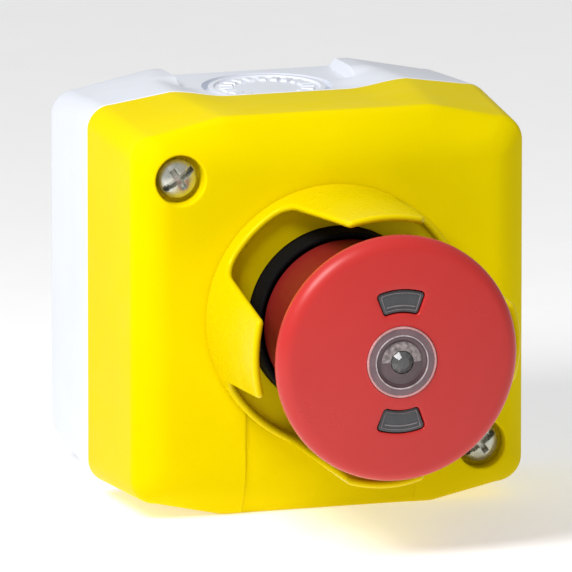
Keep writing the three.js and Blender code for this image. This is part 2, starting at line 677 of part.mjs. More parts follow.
// ---------- operator ----------
function operatorBody() {
  const end = -BARREL_LENGTH;
  const rampEnd = BARREL_BORE + LATCH_SLOPE * (PAWL_TOP - end);
  const h = (height) => FACE + height;
  const profile = [
    [BARREL_BORE, h(FLANGE_TOP)], [BARREL_BORE, h(PAWL_TOP)], [rampEnd, h(end)],
    [BARREL_RADIUS - BARREL_CHAMFER, h(end)], [BARREL_RADIUS, h(end + BARREL_CHAMFER)],
    [BARREL_RADIUS, h(FLANGE_BACK)], [BEZEL_RADIUS, h(FLANGE_BACK)],
    [BEZEL_RADIUS, h(BEZEL_TOP - BEZEL_CHAMFER)], [BEZEL_RADIUS - BEZEL_CHAMFER, h(BEZEL_TOP)],
    [BEZEL_BORE, h(BEZEL_TOP)], [BEZEL_BORE, h(FLANGE_TOP)],
  ];
  return turned(profile, 40);
}

// A block that runs outwards between two radii at an angle, used to cut notches.
function radialBlock(degrees, inner, outer, width, low, high) {
  const geometry = new THREE.BoxGeometry(outer - inner, high - low, width);
  geometry.translate((inner + outer) / 2, -(FACE + (low + high) / 2), 0);
  geometry.rotateY(-THREE.MathUtils.degToRad(degrees));
  return solidOf(geometry);
}

function panelGasket() {
  const low = FACE + GAP;
  return ring(BARREL_RADIUS + RUN, GASKET_OUTER, low, low + GASKET_THICKNESS, 32);
}

function fixingNut() {
  const front = -FACE_WALL - GAP;
  const nutRadius = BARREL_RADIUS + GAP + NUT_WALL;
  let nut = ring(BARREL_RADIUS + GAP, nutRadius, FACE + front - NUT_HEIGHT, FACE + front, 42);
  for (let i = 0; i < NUT_NOTCHES; i++) {
    const angle = 30 + (i * 360) / NUT_NOTCHES;
    const [inner, outer] = [nutRadius - NUT_NOTCH_DEPTH, nutRadius + SEAT_CUT];
    const [low, high] = [front - NUT_HEIGHT - SEAT_CUT, front - 1.6];
    nut = nut.subtract(radialBlock(angle, inner, outer, NUT_NOTCH_WIDTH, low, high));
  }
  return nut;
}

function spindle() {
  const h = (height) => FACE + height;
  const flangeTop = SPINDLE_FLANGE_HEIGHT + SPINDLE_FLANGE_THICKNESS;
  const flangeRadius = SKIRT_INSIDE - RUN;
  const neck = INDICATOR_INNER - RUN;
  const spigotEnd = PLATE_BACK + SPIGOT_SHORT;
  const profile = [
    [SPINDLE_BORE, h(SPINDLE_TOP)], [SPINDLE_BORE, h(spigotEnd)],
    [SPIGOT_RADIUS, h(spigotEnd)], [SPIGOT_RADIUS, h(SPINDLE_END)],
    [SPINDLE_RADIUS, h(SPINDLE_END)], [SPINDLE_RADIUS, h(SPINDLE_FLANGE_HEIGHT)],
    [flangeRadius, h(SPINDLE_FLANGE_HEIGHT)], [flangeRadius, h(flangeTop)],
    [neck, h(flangeTop)], [neck, h(SPINDLE_TOP)],
  ];
  const slotHeight = PAWL_HEIGHT + 2 * GAP;
  const slotWidth = 2 * (PAWL_HALF_WIDTH + GAP);
  const middle = FACE + PAWL_TOP - PAWL_HEIGHT / 2;
  const slot = box(0, middle, 0, 4 * BARREL_RADIUS, slotHeight, slotWidth);
  return turned(profile, 28).subtract(slot);
}

function latchPawl(side) {
  const middle = FACE + PAWL_TOP - PAWL_HEIGHT / 2;
  const centre = (side * (PAWL_INNER + PAWL_OUTER)) / 2;
  const width = PAWL_OUTER - PAWL_INNER;
  return box(centre, middle, 0, width, PAWL_HEIGHT, 2 * PAWL_HALF_WIDTH);
}

function pusherPlate() {
  return ring(SPIGOT_RADIUS + GAP, PLATE_RADIUS, FACE + PLATE_BACK, FACE + PLATE_TOP, 36);
}

function returnSpring() {
  const radius = (SPINDLE_RADIUS + SKIRT_INSIDE) / 2;
  const [low, high] = [FACE + FLANGE_TOP + GAP, FACE + SPINDLE_FLANGE_HEIGHT - GAP];
  return spring(0, radius, SPRING_WIRE, low, high, SPRING_TURNS, 12, 6);
}

// ---------- mushroom head ----------
// A point of the head's round edge, as [radius, height above the face].
function edgePoint(degrees) {
  const angle = THREE.MathUtils.degToRad(degrees);
  const middle = HEAD_RADIUS - HEAD_EDGE;
  return [middle + HEAD_EDGE * Math.cos(angle), HEAD_RIM + HEAD_EDGE * Math.sin(angle)];
}

// Height of the domed front above the face at a radius; it meets the round edge where that starts.
function domeHeight(radius) {
  const [edgeRadius, edgeTop] = edgePoint(HEAD_EDGE_START);
  return HEAD_FRONT - (HEAD_FRONT - edgeTop) * (radius / edgeRadius) ** 2;
}

const EDGE_STEPS = 6;

function mushroomCap() {
  const h = (height) => FACE + height;
  const bore = LENS_RADIUS + LENS_PLAY;
  const stem = LENS_STEM_RADIUS + LENS_PLAY;
  const edge = [];
  for (let i = 0; i <= EDGE_STEPS; i++) {
    const [radius, height] = edgePoint(lerp(HEAD_EDGE_START, HEAD_EDGE_END, i / EDGE_STEPS));
    edge.push([radius, h(height)]);
  }
  const inner = SKIRT_INSIDE;
  const flare = (share) => lerp(SKIRT_RADIUS, HEAD_RADIUS, share);
  const ledge = SPINDLE_FLANGE_HEIGHT + SPINDLE_FLANGE_THICKNESS + GAP;
  const profile = [
    [bore, h(domeHeight(bore))], [12, h(domeHeight(12))], [15.5, h(domeHeight(15.5))],
    ...edge,
    [flare(0.48), h(31)], [flare(0.17), h(27)], [flare(0.05), h(21)],
    [SKIRT_RADIUS, h(SKIRT_END)], [inner, h(SKIRT_END)], [inner, h(ledge)],
    [inner - LEDGE_WIDTH, h(ledge)], [inner - LEDGE_WIDTH, h(ledge + LEDGE_HEIGHT)],
    [INDICATOR_OUTER + RUN, h(ledge + 2.5 * LEDGE_HEIGHT)], [INDICATOR_OUTER + RUN, h(CAP_INSIDE)],
    [stem, h(CAP_INSIDE)], [stem, h(LENS_SEAT - GAP)], [bore, h(LENS_SEAT - GAP)],
  ];
  let cap = turned(profile, 48);
  for (const side of [-1, 1])
    cap = cap.subtract(windowSolid(side, GAP, CAP_INSIDE - SEAT_CUT, HEAD_FRONT + SEAT_CUT));
  return cap;
}

// An annular sector above (side 1) or below (side -1) the lens.
function windowSolid(side, grow, low, high) {
  const middle = (side * Math.PI) / 2;
  const half = THREE.MathUtils.degToRad(WINDOW_HALF_ANGLE) + grow / WINDOW_INNER;
  const shape = new THREE.Shape();
  shape.absarc(0, 0, WINDOW_OUTER + grow, middle - half, middle + half, false);
  shape.absarc(0, 0, WINDOW_INNER - grow, middle + half, middle - half, true);
  return prism(shape, FACE + low, FACE + high, 8);
}

function windowInsert(side) {
  return windowSolid(side, 0, CAP_INSIDE - WINDOW_DEEP, domeHeight(WINDOW_OUTER) - WINDOW_SUNK);
}

// A flanged lens with a ring round its hollow and a domed core.
function centreLens() {
  const h = (height) => FACE + height;
  const top = HEAD_FRONT;
  const back = SPINDLE_TOP + 2 * RUN;
  const profile = [
    [0, h(back)], [LENS_STEM_RADIUS, h(back)], [LENS_STEM_RADIUS, h(LENS_SEAT)],
    [LENS_RADIUS, h(LENS_SEAT)], [LENS_RADIUS, h(top - 0.1)], [LENS_RADIUS - 0.4, h(top + 0.2)],
    [4.6, h(top + 0.2)], [4.3, h(top - 0.2)], [2.2, h(top)], [1.6, h(top + LENS_STAND - 0.2)],
    [0.8, h(top + LENS_STAND)], [0, h(top + LENS_STAND)],
  ];
  return turned(profile, 24);
}

function indicatorRing() {
  const [low, high] = [INDICATOR_TOP - INDICATOR_THICKNESS, INDICATOR_TOP];
  return ring(INDICATOR_INNER, INDICATOR_OUTER, FACE + low, FACE + high, 32);
}

function capRetainer() {
  const outer = SKIRT_INSIDE - 0.05;
  const top = FACE + SPINDLE_FLANGE_HEIGHT - GAP;
  return ring(outer - RETAINER_WIDTH, outer, top - RETAINER_HEIGHT, top, 32);
}

function lightGuide() {
  return disc(LIGHT_GUIDE_RADIUS, FACE + PLATE_BACK + 0.2, FACE + SPINDLE_TOP + 0.4, 24);
}

// ---------- contact blocks and light block ----------
// A terminal chamber, open at the block's end, with a hole for the driver in front.
function cutTerminal(block, x, side, stripBack, front) {
  const width = BLOCK_WIDTH - 2 * BLOCK_WALL;
  const inner = CHAMBER_HALF + END_WALL;
  const outer = BLOCK_LENGTH / 2 + 1;
  const length = outer - inner;
  const z = (side * (inner + outer)) / 2;
  const chamber = slab(x, z, width, length, stripBack - 4.6, front - BLOCK_WALL);
  const driver = disc(TERMINAL_SCREW_RADIUS + 0.4, front - 3, front + 1, 20, x, side * TERMINAL_Z);
  const slotLength = outer - STRIP_INNER + 0.4;
  const slotZ = side * (outer - slotLength / 2);
  const slotLow = stripBack - GAP;
  const slotHigh = stripBack + STRIP_THICKNESS + GAP;
  const slot = slab(x, slotZ, STRIP_WIDTH + 0.4, slotLength, slotLow, slotHigh);
  return block.subtract(chamber).subtract(driver).subtract(slot);
}

function contactBlock(x) {
  let block = slab(x, 0, BLOCK_WIDTH, BLOCK_LENGTH, BLOCK_BACK, CONTACT_BLOCK_FRONT);
  const width = BLOCK_WIDTH - 2 * BLOCK_WALL;
  block = block.subtract(slab(x, 0, width, 2 * CHAMBER_HALF, CHAMBER_FLOOR, CHAMBER_FRONT));
  block = block.subtract(disc(PUSHER_RADIUS + RUN, CHAMBER_FRONT - 1, CONTACT_BLOCK_FRONT + 1, 24, x));
  for (const side of [-1, 1]) block = cutTerminal(block, x, side, STRIP_BACK, CONTACT_BLOCK_FRONT);
  return block;
}

function lightBlock() {
  let block = slab(0, 0, BLOCK_WIDTH, BLOCK_LENGTH, BLOCK_BACK, LIGHT_BLOCK_FRONT);
  block = block.subtract(disc(LAMP_RADIUS + 0.3, CHAMBER_FLOOR, LIGHT_BLOCK_FRONT + 1, 28));
  for (const side of [-1, 1]) block = cutTerminal(block, 0, side, LIGHT_STRIP_BACK, LIGHT_BLOCK_FRONT);
  return block;
}

function contactStrip(x, side, back) {
  const length = STRIP_OUTER - STRIP_INNER;
  const z = (side * (STRIP_OUTER + STRIP_INNER)) / 2;
  const strip = slab(x, z, STRIP_WIDTH, length, back, back + STRIP_THICKNESS);
  const hole = disc(TERMINAL_SHANK_RADIUS + GAP, back - 1, back + 2, 16, x, side * TERMINAL_Z);
  return strip.subtract(hole);
}

function terminalScrew(x, side, back) {
  const seat = back + STRIP_THICKNESS + GAP;
  const [head, shank, top] = [TERMINAL_SCREW_RADIUS, TERMINAL_SHANK_RADIUS, seat + 1.9];
  const profile = [
    [0, back - 3.6], [shank, back - 3.6], [shank, seat], [head, seat], [head, top - 0.3],
    [head - 0.3, top], [0, top],
  ];
  const z = side * TERMINAL_Z;
  const screw = turned(profile, 12, x, z);
  return screw.subtract(driveSlot(x, z, 2 * head * 0.86, 0.7, 90, top));
}

function contactPusher(x) {
  const low = STRIP_BACK - GAP;
  const profile = [
    [0, low], [PUSHER_RADIUS - 0.5, low], [PUSHER_RADIUS - 0.5, CHAMBER_FRONT - 3],
    [PUSHER_RADIUS, CHAMBER_FRONT - 3], [PUSHER_RADIUS, PUSHER_TOP - 0.8],
    [PUSHER_RADIUS - 0.8, PUSHER_TOP], [0, PUSHER_TOP],
  ];
  return turned(profile, 20, x);
}

function contactBridge(x) {
  const front = STRIP_BACK - 2 * GAP;
  const length = 2 * (STRIP_INNER + BRIDGE_OVERHANG);
  return slab(x, 0, STRIP_WIDTH, length, front - BRIDGE_THICKNESS, front);
}

function contactSpring(x) {
  const front = STRIP_BACK - 2 * GAP - BRIDGE_THICKNESS - GAP;
  const [radius, wire] = [CONTACT_SPRING_RADIUS, CONTACT_SPRING_WIRE];
  return spring(x, radius, wire, CHAMBER_FLOOR + GAP, front, CONTACT_SPRING_TURNS, 8, 4);
}

function lamp() {
  const [low, shoulder] = [CHAMBER_FLOOR + GAP, LIGHT_BLOCK_FRONT + 0.6];
  const profile = [[0, low], [LAMP_RADIUS, low]];
  for (let i = 0; i <= 4; i++) {
    const angle = (i / 4) * (Math.PI / 2);
    profile.push([i === 4 ? 0 : LAMP_RADIUS * Math.cos(angle), shoulder + LAMP_RADIUS * Math.sin(angle)]);
  }
  return turned(profile, 20);
}

// ---------- assembly ----------
add("rear_case", rearCase(), "paleGrey");
add("front_cover", frontCover(), "yellow");
add("cover_seal", coverSeal(), "blackRubber");
add("cover_screw_upper", coverScrew(-SCREW_X, SCREW_Z), "nickel");
add("cover_screw_lower", coverScrew(SCREW_X, -SCREW_Z), "nickel");
add("guard", guard(), "yellow");
add("panel_gasket", panelGasket(), "blackRubber");
add("operator_body", operatorBody(), "black");
add("fixing_nut", fixingNut(), "black");
add("spindle", spindle(), "white");
add("pusher_plate", pusherPlate(), "black");
add("return_spring", returnSpring(), "steel");
add("mushroom_cap", mushroomCap(), "red");
add("centre_lens", centreLens(), "clear");
add("window_upper", windowInsert(1), "smoke");
add("window_lower", windowInsert(-1), "smoke");
add("indicator_ring", indicatorRing(), "grey");
add("cap_retainer", capRetainer(), "steel");
add("light_guide", lightGuide(), "clear");
add("light_block", lightBlock(), "grey");
add("lamp", lamp(), "clear");

for (const [side, name] of [[-1, "left"], [1, "right"]]) {
  const x = side * BLOCK_PITCH;
  add(`latch_pawl_${name}`, latchPawl(side), "steel");
  add(`contact_block_${name}`, contactBlock(x), "green");
  add(`contact_pusher_${name}`, contactPusher(x), "white");
  add(`contact_bridge_${name}`, contactBridge(x), "brass");
  add(`contact_spring_${name}`, contactSpring(x), "steel");
}

const STRIPS = [
  ["left", -BLOCK_PITCH, STRIP_BACK],
  ["right", BLOCK_PITCH, STRIP_BACK],
  ["light", 0, LIGHT_STRIP_BACK],
];
for (const [block, x, back] of STRIPS)
  for (const [side, end] of [[1, "top"], [-1, "bottom"]]) {
    add(`contact_strip_${block}_${end}`, contactStrip(x, side, back), "brass");
    add(`terminal_screw_${block}_${end}`, terminalScrew(x, side, back), "nickel");
  }

export default group;
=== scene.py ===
"""Emergency stop control station: a yellow cover on a pale rear case, with a guarded red mushroom head.

Meshes are worked out in millimetres in the frame's own axes and made in metres. "Depth" is the
distance in front of the back face, so Y = -depth, and "height" is the distance above the cover's face.
"""

import json
import math

import bmesh
import bpy
from bpy.props import FloatProperty, FloatVectorProperty, IntProperty, PointerProperty
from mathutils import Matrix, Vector
from mathutils.geometry import delaunay_2d_cdt


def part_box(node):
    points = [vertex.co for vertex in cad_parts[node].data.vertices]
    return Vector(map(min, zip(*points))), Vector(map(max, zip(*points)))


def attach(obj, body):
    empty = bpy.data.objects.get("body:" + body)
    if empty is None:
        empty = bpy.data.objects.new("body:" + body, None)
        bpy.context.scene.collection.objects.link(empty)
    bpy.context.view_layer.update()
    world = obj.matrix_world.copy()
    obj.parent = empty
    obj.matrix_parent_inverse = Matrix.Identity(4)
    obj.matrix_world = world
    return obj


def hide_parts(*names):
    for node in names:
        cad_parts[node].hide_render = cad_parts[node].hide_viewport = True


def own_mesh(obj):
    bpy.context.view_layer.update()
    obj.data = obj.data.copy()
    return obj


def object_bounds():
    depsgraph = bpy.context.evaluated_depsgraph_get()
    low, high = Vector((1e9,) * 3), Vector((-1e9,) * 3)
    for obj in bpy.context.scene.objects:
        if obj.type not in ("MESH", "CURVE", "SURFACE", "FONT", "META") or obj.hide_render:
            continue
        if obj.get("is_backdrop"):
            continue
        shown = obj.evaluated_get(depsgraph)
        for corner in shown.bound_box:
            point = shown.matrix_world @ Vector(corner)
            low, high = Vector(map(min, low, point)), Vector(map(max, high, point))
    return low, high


bl_info = {
    "name": "Emergency Stop Station",
    "version": (1, 0, 0),
    "blender": (4, 5, 0),
    "location": "View3D > Sidebar > Stop Station",
    "description": "Builds the visible pieces of an emergency stop station round its frame",
    "category": "Add Mesh",
}

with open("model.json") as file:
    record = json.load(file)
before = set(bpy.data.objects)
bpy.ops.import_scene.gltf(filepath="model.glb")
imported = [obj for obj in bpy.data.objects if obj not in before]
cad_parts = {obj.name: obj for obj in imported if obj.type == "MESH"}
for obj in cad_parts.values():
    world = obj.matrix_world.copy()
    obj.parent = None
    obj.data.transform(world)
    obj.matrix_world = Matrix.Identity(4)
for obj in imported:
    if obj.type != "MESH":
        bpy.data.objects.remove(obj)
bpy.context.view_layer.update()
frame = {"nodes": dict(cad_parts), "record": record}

MM = 0.001
X, Y, Z = 0, 1, 2
LOW, HIGH = 0, 1
CREASE_RISE = 0.05  # of the cover's crease over its rim, at the top and bottom


def reach(node, axis, end):
    """How far a frame node reaches along an axis, in millimetres."""
    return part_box(node)[end][axis] / MM


# ---------- sizes taken from the frame ----------
FACE = -reach("front_cover", Y, LOW)
CASE_RIM = -reach("rear_case", Y, LOW)
COVER_RIM = -reach("front_cover", Y, HIGH)
SPLIT = (CASE_RIM + COVER_RIM) / 2
HALF_WIDTH = reach("front_cover", X, HIGH)
SHOULDER = reach("front_cover", Z, HIGH) - CREASE_RISE
HEAD_RADIUS = reach("mushroom_cap", X, HIGH)
HEAD_FRONT = -reach("mushroom_cap", Y, LOW) - FACE
SKIRT_END = -reach("mushroom_cap", Y, HIGH) - FACE
GUARD_TOP_RADIUS = reach("guard", X, HIGH)
GUARD_HEIGHT = -reach("guard", Y, LOW) - FACE
GASKET_OUTER = reach("panel_gasket", X, HIGH)
BEZEL_RADIUS = reach("operator_body", X, HIGH)
BEZEL_TOP = -reach("operator_body", Y, LOW) - FACE
BARREL_END = -reach("operator_body", Y, HIGH) - FACE
SCREW_TOP = -reach("cover_screw_upper", Y, LOW)
SCREW_POINT = -reach("cover_screw_upper", Y, HIGH)
SCREW_HEAD = (reach("cover_screw_upper", X, HIGH) - reach("cover_screw_upper", X, LOW)) / 2
SCREW_X = (reach("cover_screw_lower", X, HIGH) + reach("cover_screw_lower", X, LOW)) / 2
SCREW_Z = (reach("cover_screw_upper", Z, HIGH) + reach("cover_screw_upper", Z, LOW)) / 2
LENS_RADIUS = reach("centre_lens", X, HIGH)
LENS_TOP = -reach("centre_lens", Y, LOW) - FACE
LENS_BACK = -reach("centre_lens", Y, HIGH) - FACE
WINDOW_BACK = -reach("window_upper", Y, HIGH) - FACE
WINDOW_TOP = -reach("window_upper", Y, LOW) - FACE
SPRING_LOW = -reach("return_spring", Y, HIGH)
SPRING_HIGH = -reach("return_spring", Y, LOW)

# ---------- enclosure ----------
GAP = 0.15
CASE_DRAFT = 0.5
COVER_DRAFT = 1
BEVEL_DEPTH = 2.85
CREASE = FACE - BEVEL_DEPTH
SIDE_BEVEL = 3.6
END_BEVEL = 5.5
FACE_HALF_HEIGHT = SHOULDER - END_BEVEL
ENTRY_DROP = 2.5
ENTRY_FLOOR = SHOULDER - ENTRY_DROP
ENTRY_HALF_WIDTH = 14.4
ENTRY_LIP = 0.8
CASE_CORNER = 4
WALL = 2.8
ENTRY_WALL = 2.4
FACE_WALL = 2.6
BACK_ROUND = 3
CAVITY_CORNER = 3
PANEL_HOLE = 11.25
KNOCKOUT_DEPTH = 13.2
KNOCKOUT_RADIUS = 9.7
KNOCKOUT_GROOVE = 1
KNOCKOUT_GROOVE_DEPTH = 1.2
GROOVE_WALL = 0.06  # half the width over which a groove's wall falls
DISC_EDGE = 0.18  # rounding of a knock-out's disc
DISC_STEP = 0.35  # depth of the disc's sunk middle
MARK_INSIDE = (5.6, 5.8)  # radii where a mark's inner end starts to rise and is full
MARK_OUTSIDE = (7.9, 7.7)
PATCH_HALF_WIDTH = 12  # of the flat floor round a knock-out
PATCH_BACK = 1.5
PATCH_FRONT = 24
POCKET_ROOM = 0.8
POCKET_RADIUS = SCREW_HEAD + POCKET_ROOM
POCKET_SEAT = SCREW_TOP - 2.65
POCKET_FILLET = 0.3
SHANK_HOLE = 1.9
BOSS_RADIUS = 4.5
SCREW_CORNERS = ((-1, 1), (1, -1))
MOUNT_SLOT_RADIUS = 2.15
MOUNT_SLOT_PLAY = 2.1
MOUNT_BOSS_HEIGHT = 4.2
LEGEND_HALF_WIDTH = 14.5
LEGEND_TOP = -12.4
CASE_INSIDE_X = HALF_WIDTH - CASE_DRAFT - WALL
CASE_INSIDE_Z = ENTRY_FLOOR - ENTRY_WALL
MOUNT_SLOT_INSET = 5.8
MOUNT_SLOT_X = CASE_INSIDE_X - MOUNT_SLOT_INSET
MOUNT_SLOT_Z = CASE_INSIDE_Z - MOUNT_SLOT_INSET

# ---------- cover screws ----------
SCREW_HEAD_HEIGHT = 2.5
SCREW_DOME = 0.95  # fall of the head's front towards its edge
SCREW_CHAMFER = 0.35
SHANK_RADIUS = 1.5
POINT_RADIUS = 0.9
SLOT_LONG = 0.93  # half lengths of the two slots, as shares of the head's radius
SLOT_SHORT = 0.58
SLOT_HALF_WIDTH = 0.42
SLOT_DEPTH = 1.15
SLOT_ANGLE = 35

# ---------- guard and operator ----------
BARREL_RADIUS = 11
GUARD_BORE = 11.4
GUARD_WALL = 1.25
GUARD_FLARE = 1
GUARD_FLOOR = 2.6
GUARD_SEAT = 1.7
GUARD_RIM = 4.3
PETAL_TIP = 17
PETAL_FOOT = 25
BEZEL_WALL = 0.7
BEZEL_FLOOR = 0.8
BEZEL_BORE = BEZEL_RADIUS - BEZEL_WALL
BARREL_BORE = 8.2
FLANGE_BACK = GUARD_SEAT + GAP
FLANGE_TOP = FLANGE_BACK + BEZEL_FLOOR
SEAT_RADIUS = BEZEL_RADIUS + GAP
GUARD_UNDERSIDE = 0.9
GUARD_CHAMFER = 0.25
RAMP_TOP = -11  # height where the barrel's bore starts to widen for the pawls
RAMP_SLOPE = 0.2
THREAD_TOP = -4
THREAD_DEPTH = 0.35
THREAD_RIDGES = 8

# ---------- head ----------
HEAD_EDGE = 2.5
RIM_BACK = 3.5
HEAD_RIM = HEAD_FRONT - RIM_BACK
HEAD_WALL = 2.3
CAP_INSIDE = HEAD_FRONT - HEAD_WALL
EDGE_START = 83.5
EDGE_END = -70
EDGE_STEPS = 16
FLARE = ((0.48, 31), (0.17, 27), (0.05, 21))  # share of the way out from the skirt, and height
FLARE_END = 14
SKIRT_RADIUS = 13.8
SKIRT_INSIDE = 12.0
LEDGE = 28.15  # height of the ledge inside the cap, and the radii and heights past it
LEDGE_BORE = 9.9
LEDGE_TOP = 29.35
CAP_ROOM = 13.2
CAP_ROOM_START = 31.15
CAP_CORNER = 0.6
LENS_SEAT_DEPTH = 1.65
LENS_PLAY = 0.06
LENS_SEAT = HEAD_FRONT - LENS_SEAT_DEPTH
LENS_BORE = LENS_RADIUS + LENS_PLAY
LENS_STEM = 4.4
WINDOW_INNER = 8
WINDOW_OUTER = 11.6
WINDOW_HALF_ANGLE = 20

# ---------- springs ----------
RETURN_TURNS = 4.5
CONTACT_TURNS = 5
CONTACT_WIRE = 0.5

# ---------- stage ----------
VIEW_CENTRE = (-6.9, -47.0, 4.3)
KEY_PLACE = (-0.165, -0.158, 0.215)
KEY_SIZE = 0.14
FILL_PLACE = (0.8, -0.6, 0.25)
FILL_SIZE = 0.6
LIT_POINT = (0, -0.04, 0)
FLOOR_HALF = 1.6
FLOOR_GLOW = 0.39
WHITE = (1.0, 1.0, 1.0, 1.0)


# ---------- settings ----------
def length(name, description, millimetres):
    return FloatProperty(name=name, description=description, default=millimetres * MM, unit="LENGTH")


def tint(name, description, colour):
    return FloatVectorProperty(name=name, description=description, default=colour, size=3,
                               min=0.0, max=1.0, subtype="COLOR")


class STOP_PG_enclosure(bpy.types.PropertyGroup):
    crease_round: length("Crease round", "Rounding where the cover's sides meet its bevel", 0.9)
    face_blend: length("Face blend", "How softly the bevel runs into the face", 1.8)
    corner_blend: length("Corner blend", "How softly two bevels run into each other", 3.4)
    pocket_round: length("Pocket round", "Rounding of the screw pockets' edges", 0.4)
    legend_sunk: length("Legend sunk", "How far the legend panel lies under the face", 0.4)
    rim_round: length("Rim round", "Rounding along the joint of case and cover", 0.2)
    pip_height: length("Pip height", "Height of the marks on a knock-out", 0.35)
    pip_count: IntProperty(name="Pips", description="Marks round a knock-out", default=20, min=4)


class STOP_PG_operator(bpy.types.PropertyGroup):
    tip_round: length("Tip round", "Corner radius of a petal's tip", 1.6)
    foot_round: length("Foot round", "Fillet where a petal rises from the rim", 3.4)
    window_round: length("Window round", "Corner radius of the two windows", 0.55)
    head_pip: length("Lens core", "Radius of the lens's faceted core", 1.8)
    spring_wire: length("Spring wire", "Wire of the return spring", 1.2)


class STOP_PG_finish(bpy.types.PropertyGroup):
    cover: tint("Cover", "Yellow of the cover", (0.83, 0.66, 0.0))
    guard: tint("Guard", "Yellow of the guard", (0.78, 0.61, 0.0))
    case: tint("Case", "Pale grey of the rear case", (0.80, 0.83, 0.90))
    head: tint("Head", "Red of the mushroom head", (0.56, 0.030, 0.026))
    bezel: tint("Bezel", "Black of the collar and barrel", (0.006, 0.006, 0.007))
    screw: tint("Screw", "Plating of the screws", (0.60, 0.61, 0.54))
    window: tint("Window", "Smoke grey of the windows", (0.050, 0.052, 0.058))
    lens: tint("Lens", "Tint of the centre lens", (0.10, 0.055, 0.062))
    grain: length("Grain", "Size of the moulded surface grain", 0.35)


class STOP_PG_stage(bpy.types.PropertyGroup):
    yaw: FloatProperty(name="Yaw", description="Camera turned to the left of the face",
                       default=math.radians(16.65), subtype="ANGLE")
    pitch: FloatProperty(name="Pitch", description="Camera raised above the level",
                         default=math.radians(12.15), subtype="ANGLE")
    distance: length("Distance", "From the camera to the object", 2500)
    view_width: length("View width", "Width of the view at the object", 92.24)
    key_power: FloatProperty(name="Key", description="Power of the key light", default=0.78, unit="POWER")
    fill_power: FloatProperty(name="Fill", description="Power of the fill light", default=0.05, unit="POWER")
    sky: FloatProperty(name="Sky", description="Strength of the even light all round", default=0.37)
    floor: tint("Floor", "Colour of the floor", (0.93, 0.93, 0.93))


SETTINGS = {
    "stop_enclosure": STOP_PG_enclosure,
    "stop_operator": STOP_PG_operator,
    "stop_finish": STOP_PG_finish,
    "stop_stage": STOP_PG_stage,
}


# ---------- small maths ----------
def lerp(a, b, t):
    return a + (b - a) * t


def smooth(low, high, value):
    t = min(1.0, max(0.0, (value - low) / (high - low)))
    return t * t * (3 - 2 * t)


def soft_min(a, b, width):
    """The lower of two heights, with the corner between them rounded over a width."""
    h = max(width - abs(a - b), 0.0) / width
    return min(a, b) - h * h * width / 4


def steps_between(low, high, count):
    return [lerp(low, high, i / count) for i in range(count + 1)]


def soften(points, steps=5):
    """A polyline of (u, v, round) with each corner turned into a curve of that reach."""
    result = []
    for i, (u, v, cut_back) in enumerate(points):
        here = Vector((u, v))
        if cut_back <= 0 or i in (0, len(points) - 1):
            result.append((u, v))
            continue
        before = Vector(points[i - 1][:2]) - here
        after = Vector(points[i + 1][:2]) - here
        cut = min(cut_back, before.length * 0.5, after.length * 0.5)
        start = here + before.normalized() * cut
        end = here + after.normalized() * cut
        for k in range(steps + 1):
            t = k / steps
            p = start * (1 - t) ** 2 + here * 2 * t * (1 - t) + end * t * t
            result.append((p.x, p.y))
    return result


def through(points, steps=6):
    """A smooth curve through points, with its ends free."""
    padded = [points[0], *points, points[-1]]
    result = []
    for i in range(1, len(padded) - 2):
        p0, p1, p2, p3 = (Vector(p) for p in padded[i - 1:i + 3])
        for k in range(steps):
            t = k / steps
            p = 0.5 * (2 * p1 + (p2 - p0) * t + (2 * p0 - 5 * p1 + 4 * p2 - p3) * t * t
                       + (3 * p1 - p0 - 3 * p2 + p3) * t ** 3)
            result.append((p.x, p.y))
    result.append(tuple(points[-1]))
    return result


def circle(radius, count, x=0.0, z=0.0):
    turns = [2 * math.pi * i / count for i in range(count)]
    return [(x + radius * math.cos(a), z + radius * math.sin(a)) for a in turns]


def rounded_box(half_u, half_v, corner, parts=(1, 1), corner_steps=6):
    """Points round a rectangle with round corners; parts divides its upright and its level edges."""
    loop = []
    for k, (su, sv) in enumerate(((1, -1), (1, 1), (-1, 1), (-1, -1))):
        cu, cv = su * (half_u - corner), sv * (half_v - corner)
        first = -math.pi / 2 + k * math.pi / 2
        for i in range(corner_steps + 1):
            a = first + (math.pi / 2) * i / corner_steps
            loop.append((cu + corner * math.cos(a), cv + corner * math.sin(a)))
    dense = []
    for i, here in enumerate(loop):
        there = loop[(i + 1) % len(loop)]
        at_corner_end = (i + 1) % (corner_steps + 1) == 0
        # after the first corner comes an upright edge, after the second a level one, and so on
        count = parts[(i // (corner_steps + 1)) % 2] if at_corner_end else 1
        for k in range(count):
            dense.append((lerp(here[0], there[0], k / count), lerp(here[1], there[1], k / count)))
    return dense


def slot_loop(x, z, radius, play, count=14):
    """A slot with round ends along x."""
    right = [(x + play + radius * math.sin(math.pi * i / count),
              z - radius * math.cos(math.pi * i / count)) for i in range(count + 1)]
    left = [(x - play - radius * math.sin(math.pi * i / count),
             z + radius * math.cos(math.pi * i / count)) for i in range(count + 1)]
    return right + left


def encloses(loop, point):
    """Whether a point lies inside a loop."""
    inside = False
    for (ax, ay), (bx, by) in zip(loop, [*loop[1:], loop[0]]):
        if (ay > point[1]) != (by > point[1]) and point[0] < ax + (bx - ax) * (point[1] - ay) / (by - ay):
            inside = not inside
    return inside


INSIDE_EDGES = 1  # the triangulation that keeps what its edges enclose
WELD = 0.004  # points closer than this become one
SLIVER = 0.001


